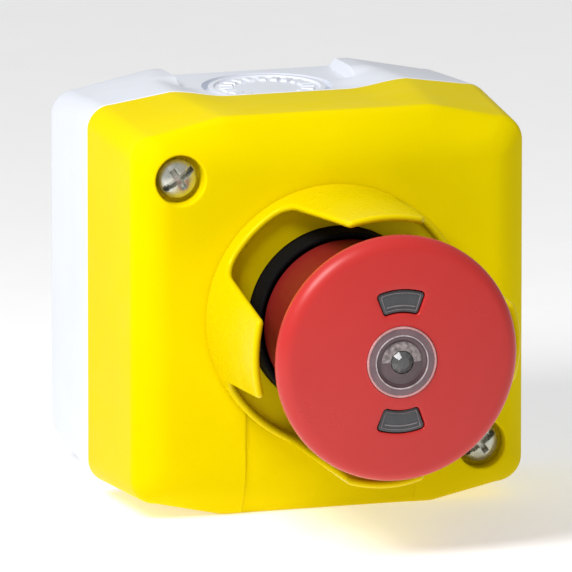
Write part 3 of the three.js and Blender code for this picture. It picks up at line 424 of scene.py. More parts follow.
# ---------- shells ----------
class Shell:
    """Gathers points in millimetres and faces, and becomes one welded mesh object."""

    def __init__(self):
        self.points = []
        self.faces = []
        self.materials = []

    def row(self, points):
        start = len(self.points)
        self.points.extend(points)
        return list(range(start, len(self.points)))

    def bridge(self, rows, closed=True, material=0):
        """Faces between rows of the same length."""
        count = len(rows[0])
        last = count if closed else count - 1
        for a, b in zip(rows, rows[1:]):
            for i in range(last):
                j = (i + 1) % count
                self.faces.append((a[i], a[j], b[j], b[i]))
                self.materials.append(material)

    def plate(self, outer, holes, place, points=(), material=0):
        """Fills a flat outline round its holes with triangles, and places each point."""
        flat = [Vector(p) for loop in (outer, *holes) for p in loop]
        edges = []
        loop_of = []
        for number, loop in enumerate((outer, *holes)):
            start, n = len(loop_of), len(loop)
            edges.extend((start + i, start + (i + 1) % n) for i in range(n))
            loop_of.extend([number] * n)
        flat.extend(Vector(p) for p in points)
        made, _, faces, sources, *_ = delaunay_2d_cdt(flat, edges, [], INSIDE_EDGES, 1e-5)
        first = [source[0] if source else len(loop_of) for source in sources]
        owner = [loop_of[i] if i < len(loop_of) else 0 for i in first]
        row = self.row([place(p.x, p.y) for p in made])
        for face in faces:
            hole = owner[face[0]]
            if hole and all(owner[i] == hole for i in face):
                middle = sum((made[i] for i in face), Vector((0, 0))) / len(face)
                if encloses(holes[hole - 1], middle):
                    continue
            self.faces.append(tuple(row[i] for i in face))
            self.materials.append(material)

    def turned(self, profile, count, x=0.0, z=0.0, closed=False, material=0):
        """Turns (radius, depth) points about the depth axis through (x, z)."""
        rows = [self.row([(px, -depth, pz) for px, pz in circle(radius, count, x, z)])
                for radius, depth in profile]
        if closed:
            rows.append(rows[0])
        self.bridge(rows, material=material)

    def build(self, name, materials, sharp=38.0, subdivide=0):
        mesh = bpy.data.meshes.new(name)
        mesh.from_pydata([[c * MM for c in p] for p in self.points], [], self.faces)
        for slot_index, polygon in zip(self.materials, mesh.polygons):
            polygon.material_index = slot_index
        edit = bmesh.new()
        edit.from_mesh(mesh)
        bmesh.ops.remove_doubles(edit, verts=edit.verts, dist=WELD * MM)
        bmesh.ops.dissolve_degenerate(edit, edges=edit.edges, dist=SLIVER * MM)
        bmesh.ops.recalc_face_normals(edit, faces=edit.faces)
        limit = math.radians(sharp)
        for face in edit.faces:
            face.smooth = True
        for edge in edit.edges:
            edge.smooth = edge.is_manifold and edge.calc_face_angle(0.0) < limit
        edit.to_mesh(mesh)
        edit.free()
        piece = bpy.data.objects.new(name, mesh)
        bpy.context.scene.collection.objects.link(piece)
        for material in materials:
            mesh.materials.append(material)
        weigh = piece.modifiers.new("even_normals", "WEIGHTED_NORMAL")
        weigh.keep_sharp = True
        return piece


def settle(piece, body, slot, *nodes):
    """Puts a finished piece on its body, in place of its frame nodes."""
    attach(piece, body)
    if nodes:
        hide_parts(*nodes)
    return piece


# ---------- materials ----------
class Nodes:
    """A material under construction."""

    def __init__(self, name):
        self.material = bpy.data.materials.new(name)
        self.material.use_nodes = True
        self.tree = self.material.node_tree
        self.shader = self.tree.nodes["Principled BSDF"]
        self.place = self.add("ShaderNodeTexCoord").outputs["Object"]

    def add(self, kind, **values):
        node = self.tree.nodes.new(kind)
        for key, value in values.items():
            setattr(node, key, value)
        return node

    def link(self, source, target):
        self.tree.links.new(source, target)

    def noise(self, size, detail=3.0, roughness=0.5, stretch=(1, 1, 1)):
        """Noise whose features are about size millimetres across."""
        mapping = self.add("ShaderNodeMapping")
        mapping.inputs["Scale"].default_value = stretch
        self.link(self.place, mapping.inputs["Vector"])
        node = self.add("ShaderNodeTexNoise")
        node.inputs["Scale"].default_value = 1 / (size * MM)
        node.inputs["Detail"].default_value = detail
        node.inputs["Roughness"].default_value = roughness
        self.link(mapping.outputs["Vector"], node.inputs["Vector"])
        return node.outputs["Fac"]

    def ranged(self, source, low, high, from_low=0.3, from_high=0.7):
        node = self.add("ShaderNodeMapRange")
        node.inputs["From Min"].default_value = from_low
        node.inputs["From Max"].default_value = from_high
        node.inputs["To Min"].default_value = low
        node.inputs["To Max"].default_value = high
        self.link(source, node.inputs["Value"])
        return node.outputs["Result"]

    def mixed(self, factor, a, b):
        """Mixes two colours, each a value or a socket."""
        node = self.add("ShaderNodeMix", data_type="RGBA")
        self.link(factor, node.inputs[0])
        for value, socket in ((a, node.inputs[6]), (b, node.inputs[7])):
            if isinstance(value, bpy.types.NodeSocket):
                self.link(value, socket)
            else:
                socket.default_value = (*value, 1.0)
        return node.outputs[2]

    def edges(self, low=0.505, high=0.56):
        """1 on outer edges and corners, where handling rubs a surface."""
        geometry = self.add("ShaderNodeNewGeometry")
        return self.ranged(geometry.outputs["Pointiness"], 0.0, 1.0, low, high)

    def times(self, a, b):
        node = self.add("ShaderNodeMath", operation="MULTIPLY")
        self.link(a, node.inputs[0])
        self.link(b, node.inputs[1])
        return node.outputs[0]

    def bump(self, *layers):
        """Each layer is a height source and its depth in millimetres."""
        normal = None
        for source, depth in layers:
            node = self.add("ShaderNodeBump")
            node.inputs["Distance"].default_value = depth * MM
            self.link(source, node.inputs["Height"])
            if normal:
                self.link(normal, node.inputs["Normal"])
            normal = node.outputs["Normal"]
        self.link(normal, self.shader.inputs["Normal"])

    def finish(self, colour, roughness, **uniform):
        self.link(colour, self.shader.inputs["Base Color"])
        self.link(roughness, self.shader.inputs["Roughness"])
        for key, value in uniform.items():
            self.shader.inputs[key.replace("_", " ")].default_value = value
        return self.material


def shade(colour, factor):
    return tuple(min(1.0, c * factor) for c in colour)


def moulded(name, colour, rough, grain=0.35, grain_depth=0.006, wear=0.12, mottle=0.05, **uniform):
    """Injection-moulded plastic: faint flow mottling, fine grain, rubbed edges and stray scuffs."""
    n = Nodes(name)
    flow = n.ranged(n.noise(14, 2.0), 0.0, 1.0)
    fine = n.noise(grain, 4.0, 0.6)
    scuff = n.ranged(n.noise(3.5, 2.0, 0.5, stretch=(1, 1, 3)), 0.0, 1.0, 0.5, 0.8)
    base = n.mixed(flow, shade(colour, 1 - mottle), shade(colour, 1 + mottle))
    speck = n.ranged(fine, 0.0, 0.25, 0.35, 0.75)
    grained = n.mixed(speck, base, shade(colour, 0.9))
    rubbed = n.times(n.edges(), n.ranged(n.noise(2.2, 4.0), wear * 0.2, wear))
    light = shade(tuple(lerp(c, 1.0, 0.12) for c in colour), 1.05)
    worn = n.mixed(rubbed, grained, light)
    rough_map = n.ranged(n.noise(6, 4.0), rough - 0.05, rough + 0.06)
    scuffed = n.add("ShaderNodeMath", operation="ADD")
    n.link(rough_map, scuffed.inputs[0])
    n.link(n.ranged(scuff, 0.0, 0.015, 0.0, 1.0), scuffed.inputs[1])
    n.bump((fine, grain_depth), (n.noise(14, 0.0), 0.001))
    return n.finish(worn, scuffed.outputs[0], **uniform)


def plated(name, colour, rough, stretch=(1, 1, 1), dirt=0.35, metal=1.0):
    """Plated or drawn metal with fine scratches and dull grime in patches."""
    n = Nodes(name)
    scratch = n.noise(0.5, 6.0, 0.7, stretch=stretch)
    patch = n.ranged(n.noise(1.6, 4.0), 0.0, dirt, 0.42, 0.72)
    lit = n.mixed(n.ranged(scratch, 0.0, 1.0), shade(colour, 0.86), shade(colour, 1.1))
    grimy = n.mixed(patch, lit, shade(colour, 0.45))
    rubbed = n.times(n.edges(), n.ranged(n.noise(1.2), 0.2, 0.8))
    worn = n.mixed(rubbed, grimy, shade(colour, 1.25))
    n.bump((scratch, 0.004), (n.noise(2.4, 2.0), 0.012))
    return n.finish(worn, n.ranged(n.noise(1.1, 4.0), rough - 0.06, rough + 0.12), Metallic=metal)


def clear_plastic(name, colour, rough, clearness, grain=0.5, haze_size=2.2, spread=0.15):
    """Tinted clear plastic with slight haze."""
    n = Nodes(name)
    haze = n.noise(haze_size, 3.0)
    tinted = n.mixed(n.ranged(haze, 0.0, 1.0), shade(colour, 1 - spread), shade(colour, 1 + spread))
    n.bump((n.noise(grain, 3.0), 0.006))
    return n.finish(tinted, n.ranged(haze, rough, rough + 0.08),
                    Transmission_Weight=clearness, IOR=1.58)


FINISHES = {}
YELLOW_SHEEN = (1.0, 0.92, 0.1, 1.0)


def finish(name):
    """The material of that name, made once."""
    if name in FINISHES:
        return FINISHES[name]
    look = bpy.context.scene.stop_finish
    floor = bpy.context.scene.stop_stage.floor
    grain = look.grain / MM
    makers = {
        "cover_yellow": lambda: moulded(name, look.cover, 0.42, grain, 0.0015, mottle=0.02, wear=0.05,
                                        Specular_IOR_Level=0.03,
                                        Specular_Tint=YELLOW_SHEEN),
        "guard_yellow": lambda: moulded(name, look.guard, 0.27, grain, 0.0006, mottle=0.02, wear=0.015,
                                        Specular_IOR_Level=0.3,
                                        Specular_Tint=YELLOW_SHEEN),
        "case_grey": lambda: moulded(name, look.case, 0.46, grain, 0.006, mottle=0.025),
        "head_red": lambda: moulded(name, look.head, 0.32, 0.3, 0.0008, mottle=0.02, wear=0.01,
                                    Specular_IOR_Level=0.35),
        # a darker copy of the head red for the flare and skirt: painted shade under the overhanging head
        "head_red_painted_shade": lambda: moulded(name, shade(look.head, 0.4), 0.45, 0.3, 0.003, wear=0.1,
                                         Specular_IOR_Level=0.2),
        "bezel_black": lambda: moulded(name, look.bezel, 0.7, 0.3, 0.004, wear=0.03,
                                       Specular_IOR_Level=0.03),
        "rubber_black": lambda: moulded(name, (0.014, 0.014, 0.014), 0.85, 0.25, 0.012, wear=0.1),
        "white_acetal": lambda: moulded(name, (0.78, 0.78, 0.74), 0.45, 0.3, 0.005),
        "block_grey": lambda: moulded(name, (0.30, 0.31, 0.33), 0.5, 0.3, 0.008),
        "block_green": lambda: moulded(name, (0.03, 0.2, 0.07), 0.5, 0.3, 0.008),
        "screw_nickel": lambda: plated(name, look.screw, 0.30, (1, 1, 4), metal=0.85),
        "spring_steel": lambda: plated(name, (0.45, 0.46, 0.47), 0.3, (3, 1, 3), 0.2),
        "brass": lambda: plated(name, (0.62, 0.43, 0.15), 0.32, (1, 1, 5)),
        "lens_clear": lambda: clear_plastic(name, (0.75, 0.72, 0.74), 0.08, 0.75),
        "lens_mauve": lambda: clear_plastic(name, look.lens, 0.16, 0.12),
        "lens_frost": lambda: clear_plastic(name, (0.20, 0.12, 0.135), 0.3, 0.15, 0.25),
        "lens_ring": lambda: clear_plastic(name, (0.50, 0.43, 0.44), 0.3, 0.1, haze_size=0.8, spread=0.35),
        "lens_edge": lambda: clear_plastic(name, (0.86, 0.42, 0.42), 0.2, 0.35),
        "lens_core": lambda: clear_plastic(name, (0.10, 0.10, 0.10), 0.16, 0.2),
        # a lighter, mottled mauve for the upper half of the lens's hollow: a painted reflection of the light
        # above
        "lens_glint": lambda: clear_plastic(name, (0.30, 0.25, 0.25), 0.3, 0.1, 0.3, 0.6, 0.6),
        "window_smoke": lambda: clear_plastic(name, look.window, 0.22, 0.05),
        # a lighter smoke for the raised outline and arc: real raised lines, with their lighter colour a
        # painted highlight along them
        "window_line_highlight": lambda: clear_plastic(name, (0.22, 0.19, 0.20), 0.3, 0.05),
        "floor": lambda: moulded(name, floor, 0.7, 4, 0.01, wear=0.0, mottle=0.01,
                                 Emission_Color=WHITE, Emission_Strength=FLOOR_GLOW),
    }
    FINISHES[name] = makers[name]()
    return FINISHES[name]


# ---------- the enclosure's outline ----------
SPLIT_SECTION = dict(half_width=HALF_WIDTH, shoulder=SHOULDER, shoulder_x=20, fall=0.151,
                     dip=1.2, corner=CASE_CORNER)
CREASE_SECTION = dict(half_width=HALF_WIDTH - COVER_DRAFT, shoulder=SHOULDER + CREASE_RISE, shoulder_x=17.6,
                      fall=0.2254, dip=0, corner=CASE_CORNER + 0.3)
BACK_SECTION = dict(half_width=HALF_WIDTH - CASE_DRAFT, shoulder=SHOULDER - 0.9, shoulder_x=16.5,
                    fall=0.207, dip=0, corner=CASE_CORNER)
FACE_SECTION = dict(half_width=HALF_WIDTH - COVER_DRAFT - SIDE_BEVEL, shoulder=FACE_HALF_HEIGHT,
                    shoulder_x=17.6, fall=0, dip=0, corner=2.5)
# places across the outline, closest at the wall of the cable entry
STATIONS = sorted({*range(0, 14), *(14 + i / 10 for i in range(13)), *range(16, 26)})
CORNER_STEPS = 12
SIDE_STEPS = 24


def between(a, b, t):
    return {key: lerp(a[key], b[key], t) for key in a}


def shrunk(section, inset):
    """A section drawn in all round, for a rounded end."""
    return {**section, "half_width": section["half_width"] - inset,
            "shoulder": section["shoulder"] - inset}


def edge_height(section, x):
    dip = section["dip"] * (1 - smooth(10, 20, x))
    return section["shoulder"] - dip - section["fall"] * max(0.0, x - section["shoulder_x"])


def entry_height(section, x, depth):
    """The case's top edge, sunk to the cable-entry floor in the middle."""
    edge = edge_height({**section, "dip": 0}, x)
    valley = smooth(10, 14, depth)
    wall = smooth(ENTRY_HALF_WIDTH, ENTRY_HALF_WIDTH + 0.5, x)
    slope = smooth(10.8, 20, x)
    return lerp(min(ENTRY_FLOOR, section["shoulder"]), edge, lerp(wall, slope, valley))


def outline(section, height=edge_height):
    """Points (x, z) round a section from the middle of its top, over the right side."""
    corner_x = section["half_width"] - section["corner"]
    quarter = [(x, height(section, x)) for x in STATIONS]
    corner_top = height(section, corner_x)
    for i in range(CORNER_STEPS + 1):
        a = i / CORNER_STEPS * math.pi / 2
        quarter.append((corner_x + section["corner"] * math.sin(a),
                        corner_top - section["corner"] * (1 - math.cos(a))))
    side_x, side_z = quarter[-1]
    side = [(side_x, lerp(side_z, -side_z, i / SIDE_STEPS)) for i in range(1, SIDE_STEPS)]
    lower = [(x, -z) for x, z in reversed(quarter)]
    right = quarter + side + lower
    left = [(-x, z) for x, z in reversed(right[1:-1])]
    return right + left


def at_depth(points, depth):
    return [(x, -depth, z) for x, z in points]


def ring_points(x, z, radius, reaches, count):
    """Rows of points round a circle, at distances outside it."""
    return [p for r in reaches for p in circle(radius + r, count, x, z)]


def clear_of(point, circles, margin):
    return all(math.dist(point, (x, z)) > radius + margin for x, z, radius in circles)


def field(half_x, half_z, step, circles, margin=0.7):
    """An even field of points, clear of some circles."""
    nx, nz = int(half_x / step), int(half_z / step)
    points = [(i * step, k * step) for i in range(-nx, nx + 1) for k in range(-nz, nz + 1)]
    return [p for p in points if clear_of(p, circles, margin)]


def rim_drop(distance, radius):
    """How far a rounded edge has fallen at a distance from its foot."""
    if distance >= radius:
        return 0.0
    inside = radius - max(distance, 0.0)
    return radius - math.sqrt(radius * radius - inside * inside)


RIM_STEPS = (0.03, 0.12, 0.27, 0.5, 0.75, 1.0)


# ---------- rear case ----------
def knockout_profile(radius, pips, count, angle):
    """Height of the cable-entry floor over a knock-out: a groove round a disc with raised marks."""
    outer = KNOCKOUT_RADIUS + KNOCKOUT_GROOVE
    if radius > KNOCKOUT_RADIUS + KNOCKOUT_GROOVE / 2:
        into = smooth(outer + GROOVE_WALL, outer - GROOVE_WALL, radius)
    else:
        into = smooth(KNOCKOUT_RADIUS - GROOVE_WALL, KNOCKOUT_RADIUS + GROOVE_WALL, radius)
    height = -KNOCKOUT_GROOVE_DEPTH * into
    if radius < KNOCKOUT_RADIUS:
        height -= rim_drop(KNOCKOUT_RADIUS - radius, DISC_EDGE) * 0.6
    height -= DISC_STEP * smooth(KNOCKOUT_RADIUS - 0.9, KNOCKOUT_RADIUS - 1.05, radius)
    along = (angle * count / (2 * math.pi)) % 1.0
    mark = smooth(0.16, 0.24, along) * smooth(0.84, 0.76, along)
    mark *= smooth(*MARK_INSIDE, radius) * smooth(*MARK_OUTSIDE, radius)
    return height + pips * mark


# how far in front of the cable entry's lip, and the share of the way up to the case's edge
LIP_RISE = ((-0.2, 0.0), (-0.05, 0.04), (0.0, 0.15), (0.02, 0.5), (0.05, 0.85), (0.12, 0.96), (0.22, 1.0))


def rear_case_shell():
    """The rear case with its cable entries, knock-outs, mounting slots and cavity."""
    look = bpy.context.scene.stop_enclosure
    rim_round = look.rim_round / MM
    pips = look.pip_height / MM
    stations = []
    for i in range(9):
        a = i / 8 * math.pi / 2
        stations.append((BACK_ROUND * (1 - math.cos(a)), BACK_ROUND * (1 - math.sin(a)) * 0.6, 0.0))
    stations += [(d, 0.0, 0.0) for d in (4, 5, 6, 7, 8, 9)]
    stations += [(d / 2, 0.0, 0.0) for d in range(20, 30)]
    stations += [(d, 0.0, 0.0) for d in (16, 18, 20, 22, 23, 23.6, 24)]
    lip = SPLIT - ENTRY_LIP
    stations += [(lip + ahead, 0.0, risen) for ahead, risen in LIP_RISE]
    stations += [(CASE_RIM - rim_round * (1 - f), rim_round * (1 - math.sqrt(1 - f * f)), 1.0)
                 for f in (0.0, 0.35, 0.65, 0.85, 1.0)]
    shell = Shell()
    rows = []
    for depth, inset, risen in stations:
        section = shrunk(between(BACK_SECTION, SPLIT_SECTION, min(1.0, depth / SPLIT)), inset)
        full = shrunk(SPLIT_SECTION, inset)

        def height(s, x, depth=depth, risen=risen, full=full):
            return lerp(entry_height(s, x, depth), edge_height(full, x), risen)

        rows.append(at_depth(outline(section, height), depth))
    # The flat floor round each knock-out is left out of the rows and filled by a plate.
    column = STATIONS.index(PATCH_HALF_WIDTH)
    first = next(i for i, s in enumerate(stations) if s[0] >= PATCH_BACK)
    last = next(i for i, s in enumerate(stations) if s[0] >= PATCH_FRONT)
    count = len(rows[0])
    half = len(STATIONS) + CORNER_STEPS + 1
    bottom = 2 * half + SIDE_STEPS - 2
    marks = [shell.row(r) for r in rows]
    for s in range(len(marks) - 1):
        for i in range(count):
            j = (i + 1) % count
            top_patch = min(i, count - i) <= column and min(j, count - j) <= column
            low_patch = abs(i - bottom) <= column and abs(j - bottom) <= column
            if first <= s < last and (top_patch or low_patch):
                continue
            a, b = marks[s], marks[s + 1]
            shell.faces.append((a[i], a[j], b[j], b[i]))
            shell.materials.append(0)

    def floor_point(x, depth, side):
        section = between(BACK_SECTION, SPLIT_SECTION, min(1.0, depth / SPLIT))
        inset = 0.0
        if depth < BACK_ROUND:
            a = math.acos(1 - depth / BACK_ROUND)
            inset = BACK_ROUND * (1 - math.sin(a)) * 0.6
        z = entry_height(shrunk(section, inset), abs(x), depth)
        radius = math.hypot(x, depth - KNOCKOUT_DEPTH)
        angle = math.atan2(depth - KNOCKOUT_DEPTH, x) % (2 * math.pi)
        if radius < KNOCKOUT_RADIUS + KNOCKOUT_GROOVE + 0.3:
            z += knockout_profile(radius, pips, look.pip_count, angle)
        return (x, -depth, side * z)

    depths = [stations[s][0] for s in range(first, last + 1)]
    xs = [x for x in STATIONS if x <= PATCH_HALF_WIDTH]
    across = [-x for x in reversed(xs)] + xs[1:]
    border = [(x, depths[0]) for x in across]
    border += [(PATCH_HALF_WIDTH, d) for d in depths[1:]]
    border += [(x, depths[-1]) for x in reversed(across[:-1])]
    border += [(-PATCH_HALF_WIDTH, d) for d in reversed(depths[1:-1])]
    outer = KNOCKOUT_RADIUS + KNOCKOUT_GROOVE
    radii = [outer + step for step in (0.14, 0.06, 0.02, -0.02, -0.06, -0.3)]
    radii += [KNOCKOUT_RADIUS + step for step in (0.3, 0.06, 0.02, -0.02, -0.06, -0.18, -0.9, -1.05)]
    radii += [*MARK_OUTSIDE, 7.2, 6.7, 6.2, *reversed(MARK_INSIDE), 4.6, 3.4, 2.2, 1.1]
    turns = look.pip_count * 12
    inner = [p for r in radii for p in circle(r, turns, 0, KNOCKOUT_DEPTH)]
    inner.append((0.0, KNOCKOUT_DEPTH))
    inner += [(x, d) for x in across[1:-1] for d in depths[1:-1]
              if math.hypot(x, d - KNOCKOUT_DEPTH) > outer + 0.6]
    for side in (1, -1):
        shell.plate(border, [], lambda x, d, side=side: floor_point(x, d, side), inner)

    # back wall with its two mounting slots
    slots = [(s * MOUNT_SLOT_X, s * MOUNT_SLOT_Z) for s in (1, -1)]
    edge = 0.25
    openings = [slot_loop(x, z, MOUNT_SLOT_RADIUS + edge, MOUNT_SLOT_PLAY) for x, z in slots]
    back = [(x, z) for x, _, z in rows[0]]
    shell.plate(back, openings, lambda x, z: (x, 0.0, z),
                field(26, 24, 4, [(x, z, 6) for x, z in slots]))
    for x, z in slots:
        walls = [(edge, 0.0), (edge * 0.4, edge * 0.15), (edge * 0.1, edge * 0.5), (0.0, edge),
                 (0.0, MOUNT_BOSS_HEIGHT)]
        shell.bridge([shell.row(at_depth(slot_loop(x, z, MOUNT_SLOT_RADIUS + r, MOUNT_SLOT_PLAY), d))
                      for r, d in walls])
    # cavity
    cavity = rounded_box(CASE_INSIDE_X, CASE_INSIDE_Z, CAVITY_CORNER, (16, 16))
    rim = [(x, z) for x, _, z in rows[-1]]
    shell.plate(rim, [cavity], lambda x, z: (x, -CASE_RIM, z))
    shell.bridge([shell.row(at_depth(cavity, CASE_RIM)), shell.row(at_depth(cavity, MOUNT_BOSS_HEIGHT))])
    inside = [slot_loop(x, z, MOUNT_SLOT_RADIUS, MOUNT_SLOT_PLAY) for x, z in slots]
    shell.plate(cavity, inside, lambda x, z: (x, -MOUNT_BOSS_HEIGHT, z))
    piece = shell.build("rear_case_shell", [finish("case_grey")])
    settle(piece, "enclosure", "pale_case", "rear_case")


# ---------- front cover ----------
def front_depth(x, z, look):
    """Depth of the cover's front over (x, z): face, bevels, legend panel and pocket edges."""
    ax, az = abs(x), abs(z)
    rise = FACE - CREASE
    edge = edge_height(CREASE_SECTION, ax)
    side = CREASE + (CREASE_SECTION["half_width"] - ax) * rise / SIDE_BEVEL
    end = CREASE + (edge - az) * rise / (edge - FACE_HALF_HEIGHT)
    depth = soft_min(soft_min(side, end, look.corner_blend / MM), FACE, look.face_blend / MM)
    sunk = smooth(LEGEND_HALF_WIDTH + 0.2, LEGEND_HALF_WIDTH - 0.2, ax)
    sunk *= smooth(LEGEND_TOP + 0.2, LEGEND_TOP - 0.2, z)
    depth -= look.legend_sunk / MM * sunk
    for sx, sz in SCREW_CORNERS:
        distance = math.dist((x, z), (sx * SCREW_X, sz * SCREW_Z)) - POCKET_RADIUS
        depth -= rim_drop(distance, look.pocket_round / MM)
    return depth


def front_cover_shell():
    """The cover: its sides, bevelled front, screw pockets and panel hole, and its cavity."""
    look = bpy.context.scene.stop_enclosure
    rim_round = look.rim_round / MM
    crease_round = look.crease_round / MM
    shell = Shell()
    crease = outline(CREASE_SECTION)
    face = outline(FACE_SECTION)
    rows = []
    for f in (1.0, 0.85, 0.65, 0.35, 0.0):
        inset = rim_round * (1 - math.sqrt(1 - f * f))
        rows.append(at_depth(outline(shrunk(SPLIT_SECTION, inset)), COVER_RIM + rim_round * (1 - f)))
    side_end = CREASE - crease_round
    for depth in steps_between(COVER_RIM + 1.5, side_end, 12):
        t = (depth - SPLIT) / (CREASE - SPLIT)
        rows.append(at_depth(outline(between(SPLIT_SECTION, CREASE_SECTION, t)), depth))
    below = rows[-1]
    share = crease_round / math.hypot(SIDE_BEVEL, FACE - CREASE)
    inner = [(lerp(c[0], f[0], share), lerp(c[1], f[1], share)) for c, f in zip(crease, face)]
    beyond = [(x, -front_depth(x, z, look), z) for x, z in inner]
    corner = [(x, -front_depth(x, z, look), z) for x, z in crease]
    for k in range(1, 7):
        t = k / 6
        rows.append([tuple(a * (1 - t) ** 2 + b * 2 * t * (1 - t) + c * t * t for a, b, c in zip(p, q, r))
                     for p, q, r in zip(below, corner, beyond)])
    shell.bridge([shell.row(r) for r in rows])

    pockets = [(sx * SCREW_X, sz * SCREW_Z) for sx, sz in SCREW_CORNERS]
    turns = 72
    holes = [circle(POCKET_RADIUS, turns, x, z) for x, z in pockets]
    holes.append(circle(PANEL_HOLE, turns))
    circles = [(x, z, POCKET_RADIUS) for x, z in pockets] + [(0, 0, PANEL_HOLE)]
    reaches = [r * look.pocket_round / MM for r in RIM_STEPS]
    points = []
    for x, z in pockets:
        points += ring_points(x, z, POCKET_RADIUS, reaches, turns)
    wide = [(x, z, radius + 0.4) for x, z, radius in circles]
    for t in [share + (1 - share) * k / 9 for k in range(1, 10)] + [1.15, 1.3, 1.5, 1.7, 2.0]:
        ring = [(lerp(c[0], f[0], t), lerp(c[1], f[1], t)) for c, f in zip(crease, face)]
        points += [p for p in ring if clear_of(p, wide, 0.15)]
    lines = [LEGEND_HALF_WIDTH + o for o in (-0.2, -0.1, 0.0, 0.1, 0.2)]
    legend_zs = [LEGEND_TOP + o for o in (-0.2, -0.1, 0.0, 0.1, 0.2)]
    points += [(s * x, z / 2) for s in (1, -1) for x in lines for z in range(-42, -22)]
    points += [(x / 2, z) for x in range(-30, 31) for z in legend_zs if clear_of((x / 2, z), wide, 0.1)]
    points += field(25, 22, 1.25, wide, 0.3)
    shell.plate(inner, holes, lambda x, z: (x, -front_depth(x, z, look), z), points)

    # pockets, panel hole, and the inside
    inside = FACE - FACE_WALL
    for (x, z), hole in zip(pockets, holes):
        shell.bridge([shell.row([(px, -front_depth(px, pz, look), pz) for px, pz in hole]),
                      shell.row(at_depth(hole, POCKET_SEAT + POCKET_FILLET))])
        shell.turned([(POCKET_RADIUS, POCKET_SEAT + POCKET_FILLET),
                      (POCKET_RADIUS - POCKET_FILLET, POCKET_SEAT), (SHANK_HOLE, POCKET_SEAT),
                      (SHANK_HOLE, COVER_RIM + GAP), (BOSS_RADIUS, COVER_RIM + GAP), (BOSS_RADIUS, inside)],
                     turns, x, z)
    panel = circle(PANEL_HOLE, turns)
    shell.bridge([shell.row([(x, -front_depth(x, z, look), z) for x, z in panel]),
                  shell.row(at_depth(panel, inside))])
    cavity = rounded_box(CREASE_SECTION["half_width"] - WALL, CASE_INSIDE_Z, CAVITY_CORNER, (16, 16))
    shell.plate([(x, z) for x, _, z in rows[0]], [cavity], lambda x, z: (x, -COVER_RIM, z))
    shell.bridge([shell.row(at_depth(cavity, COVER_RIM)), shell.row(at_depth(cavity, inside))])
    bosses = [circle(BOSS_RADIUS, turns, x, z) for x, z in pockets]
    shell.plate(cavity, [panel, *bosses], lambda x, z: (x, -inside, z))
    piece = shell.build("front_cover_shell", [finish("cover_yellow")])
    settle(piece, "enclosure", "yellow_cover", "front_cover")


# ---------- cover screws ----------
def cross_loop(half_long, half_short, half_width, grow, degrees):
    """Outline of a long slot crossed by a short one."""
    a, b, w = half_long + grow, half_short + grow, half_width + grow
    loop = [(a, -w), (a, w), (w, w), (w, b), (-w, b), (-w, w), (-a, w), (-a, -w), (-w, -w), (-w, -b),
            (w, -b), (w, -w)]
    turn = math.radians(degrees)
    c, s = math.cos(turn), math.sin(turn)
    dense = []
    for i, here in enumerate(loop):
        there = loop[(i + 1) % len(loop)]
        for k in range(6):
            u, v = (lerp(here[n], there[n], k / 6) for n in (0, 1))
            dense.append((u * c - v * s, u * s + v * c))
    return dense


def cover_screw(name, node, x, z):
    """A pan head with a long slot and a short cross slot, and its shank."""
    seat = SCREW_TOP - SCREW_HEAD_HEIGHT
    radius = SCREW_HEAD
    long, short, half = radius * SLOT_LONG, radius * SLOT_SHORT, SLOT_HALF_WIDTH

    def dome(px, pz):
        return SCREW_TOP - SCREW_DOME * (math.hypot(px, pz) / radius) ** 2.4

    def slotted(px, pz):
        turn = math.radians(-SLOT_ANGLE)
        u = px * math.cos(turn) - pz * math.sin(turn)
        v = px * math.sin(turn) + pz * math.cos(turn)
        first = max(abs(u) - long, abs(v) - half)
        second = max(abs(v) - short, abs(u) - half)
        inside = -min(first, second)
        return SLOT_DEPTH * smooth(-0.05, 0.05, inside) + 0.06 * smooth(-0.22, 0.0, inside)

    def front(px, pz):
        return (x + px, -(dome(px, pz) - slotted(px, pz)), z + pz)

    shell = Shell()
    turns = 72
    rim = radius - SCREW_CHAMFER
    points = []
    for grow in (0.22, 0.12, 0.05, 0.0, -0.05):
        points += cross_loop(long, short, half, grow, SLOT_ANGLE)
    cross = points[:]
    grid = [p for r in steps_between(0.35, rim - 0.3, 8) for p in circle(r, 30)]
    points += [p for p in grid if min(math.dist(p, q) for q in cross) > 0.14]
    shell.plate(circle(rim, turns), [], front, [p for p in points if math.hypot(*p) < rim - 0.05])
    edge = dome(rim, 0)
    side = soften([(rim, edge, 0), (radius - 0.02, edge - 0.32, SCREW_CHAMFER),
                   (radius, seat + 0.6, 0.2), (radius - 0.25, seat, 0.1), (SHANK_RADIUS, seat, 0)], 5)
    shell.turned([*side, (SHANK_RADIUS, SCREW_POINT + 1), (POINT_RADIUS, SCREW_POINT), (0.0, SCREW_POINT)],
                 turns, x, z)
    piece = shell.build(name, [finish("screw_nickel")], sharp=30)
    settle(piece, "enclosure", "nickel_screw", node)


def cover_screws():
    cover_screw("cover_screw_upper_head", "cover_screw_upper", -SCREW_X, SCREW_Z)
    cover_screw("cover_screw_lower_head", "cover_screw_lower", SCREW_X, -SCREW_Z)


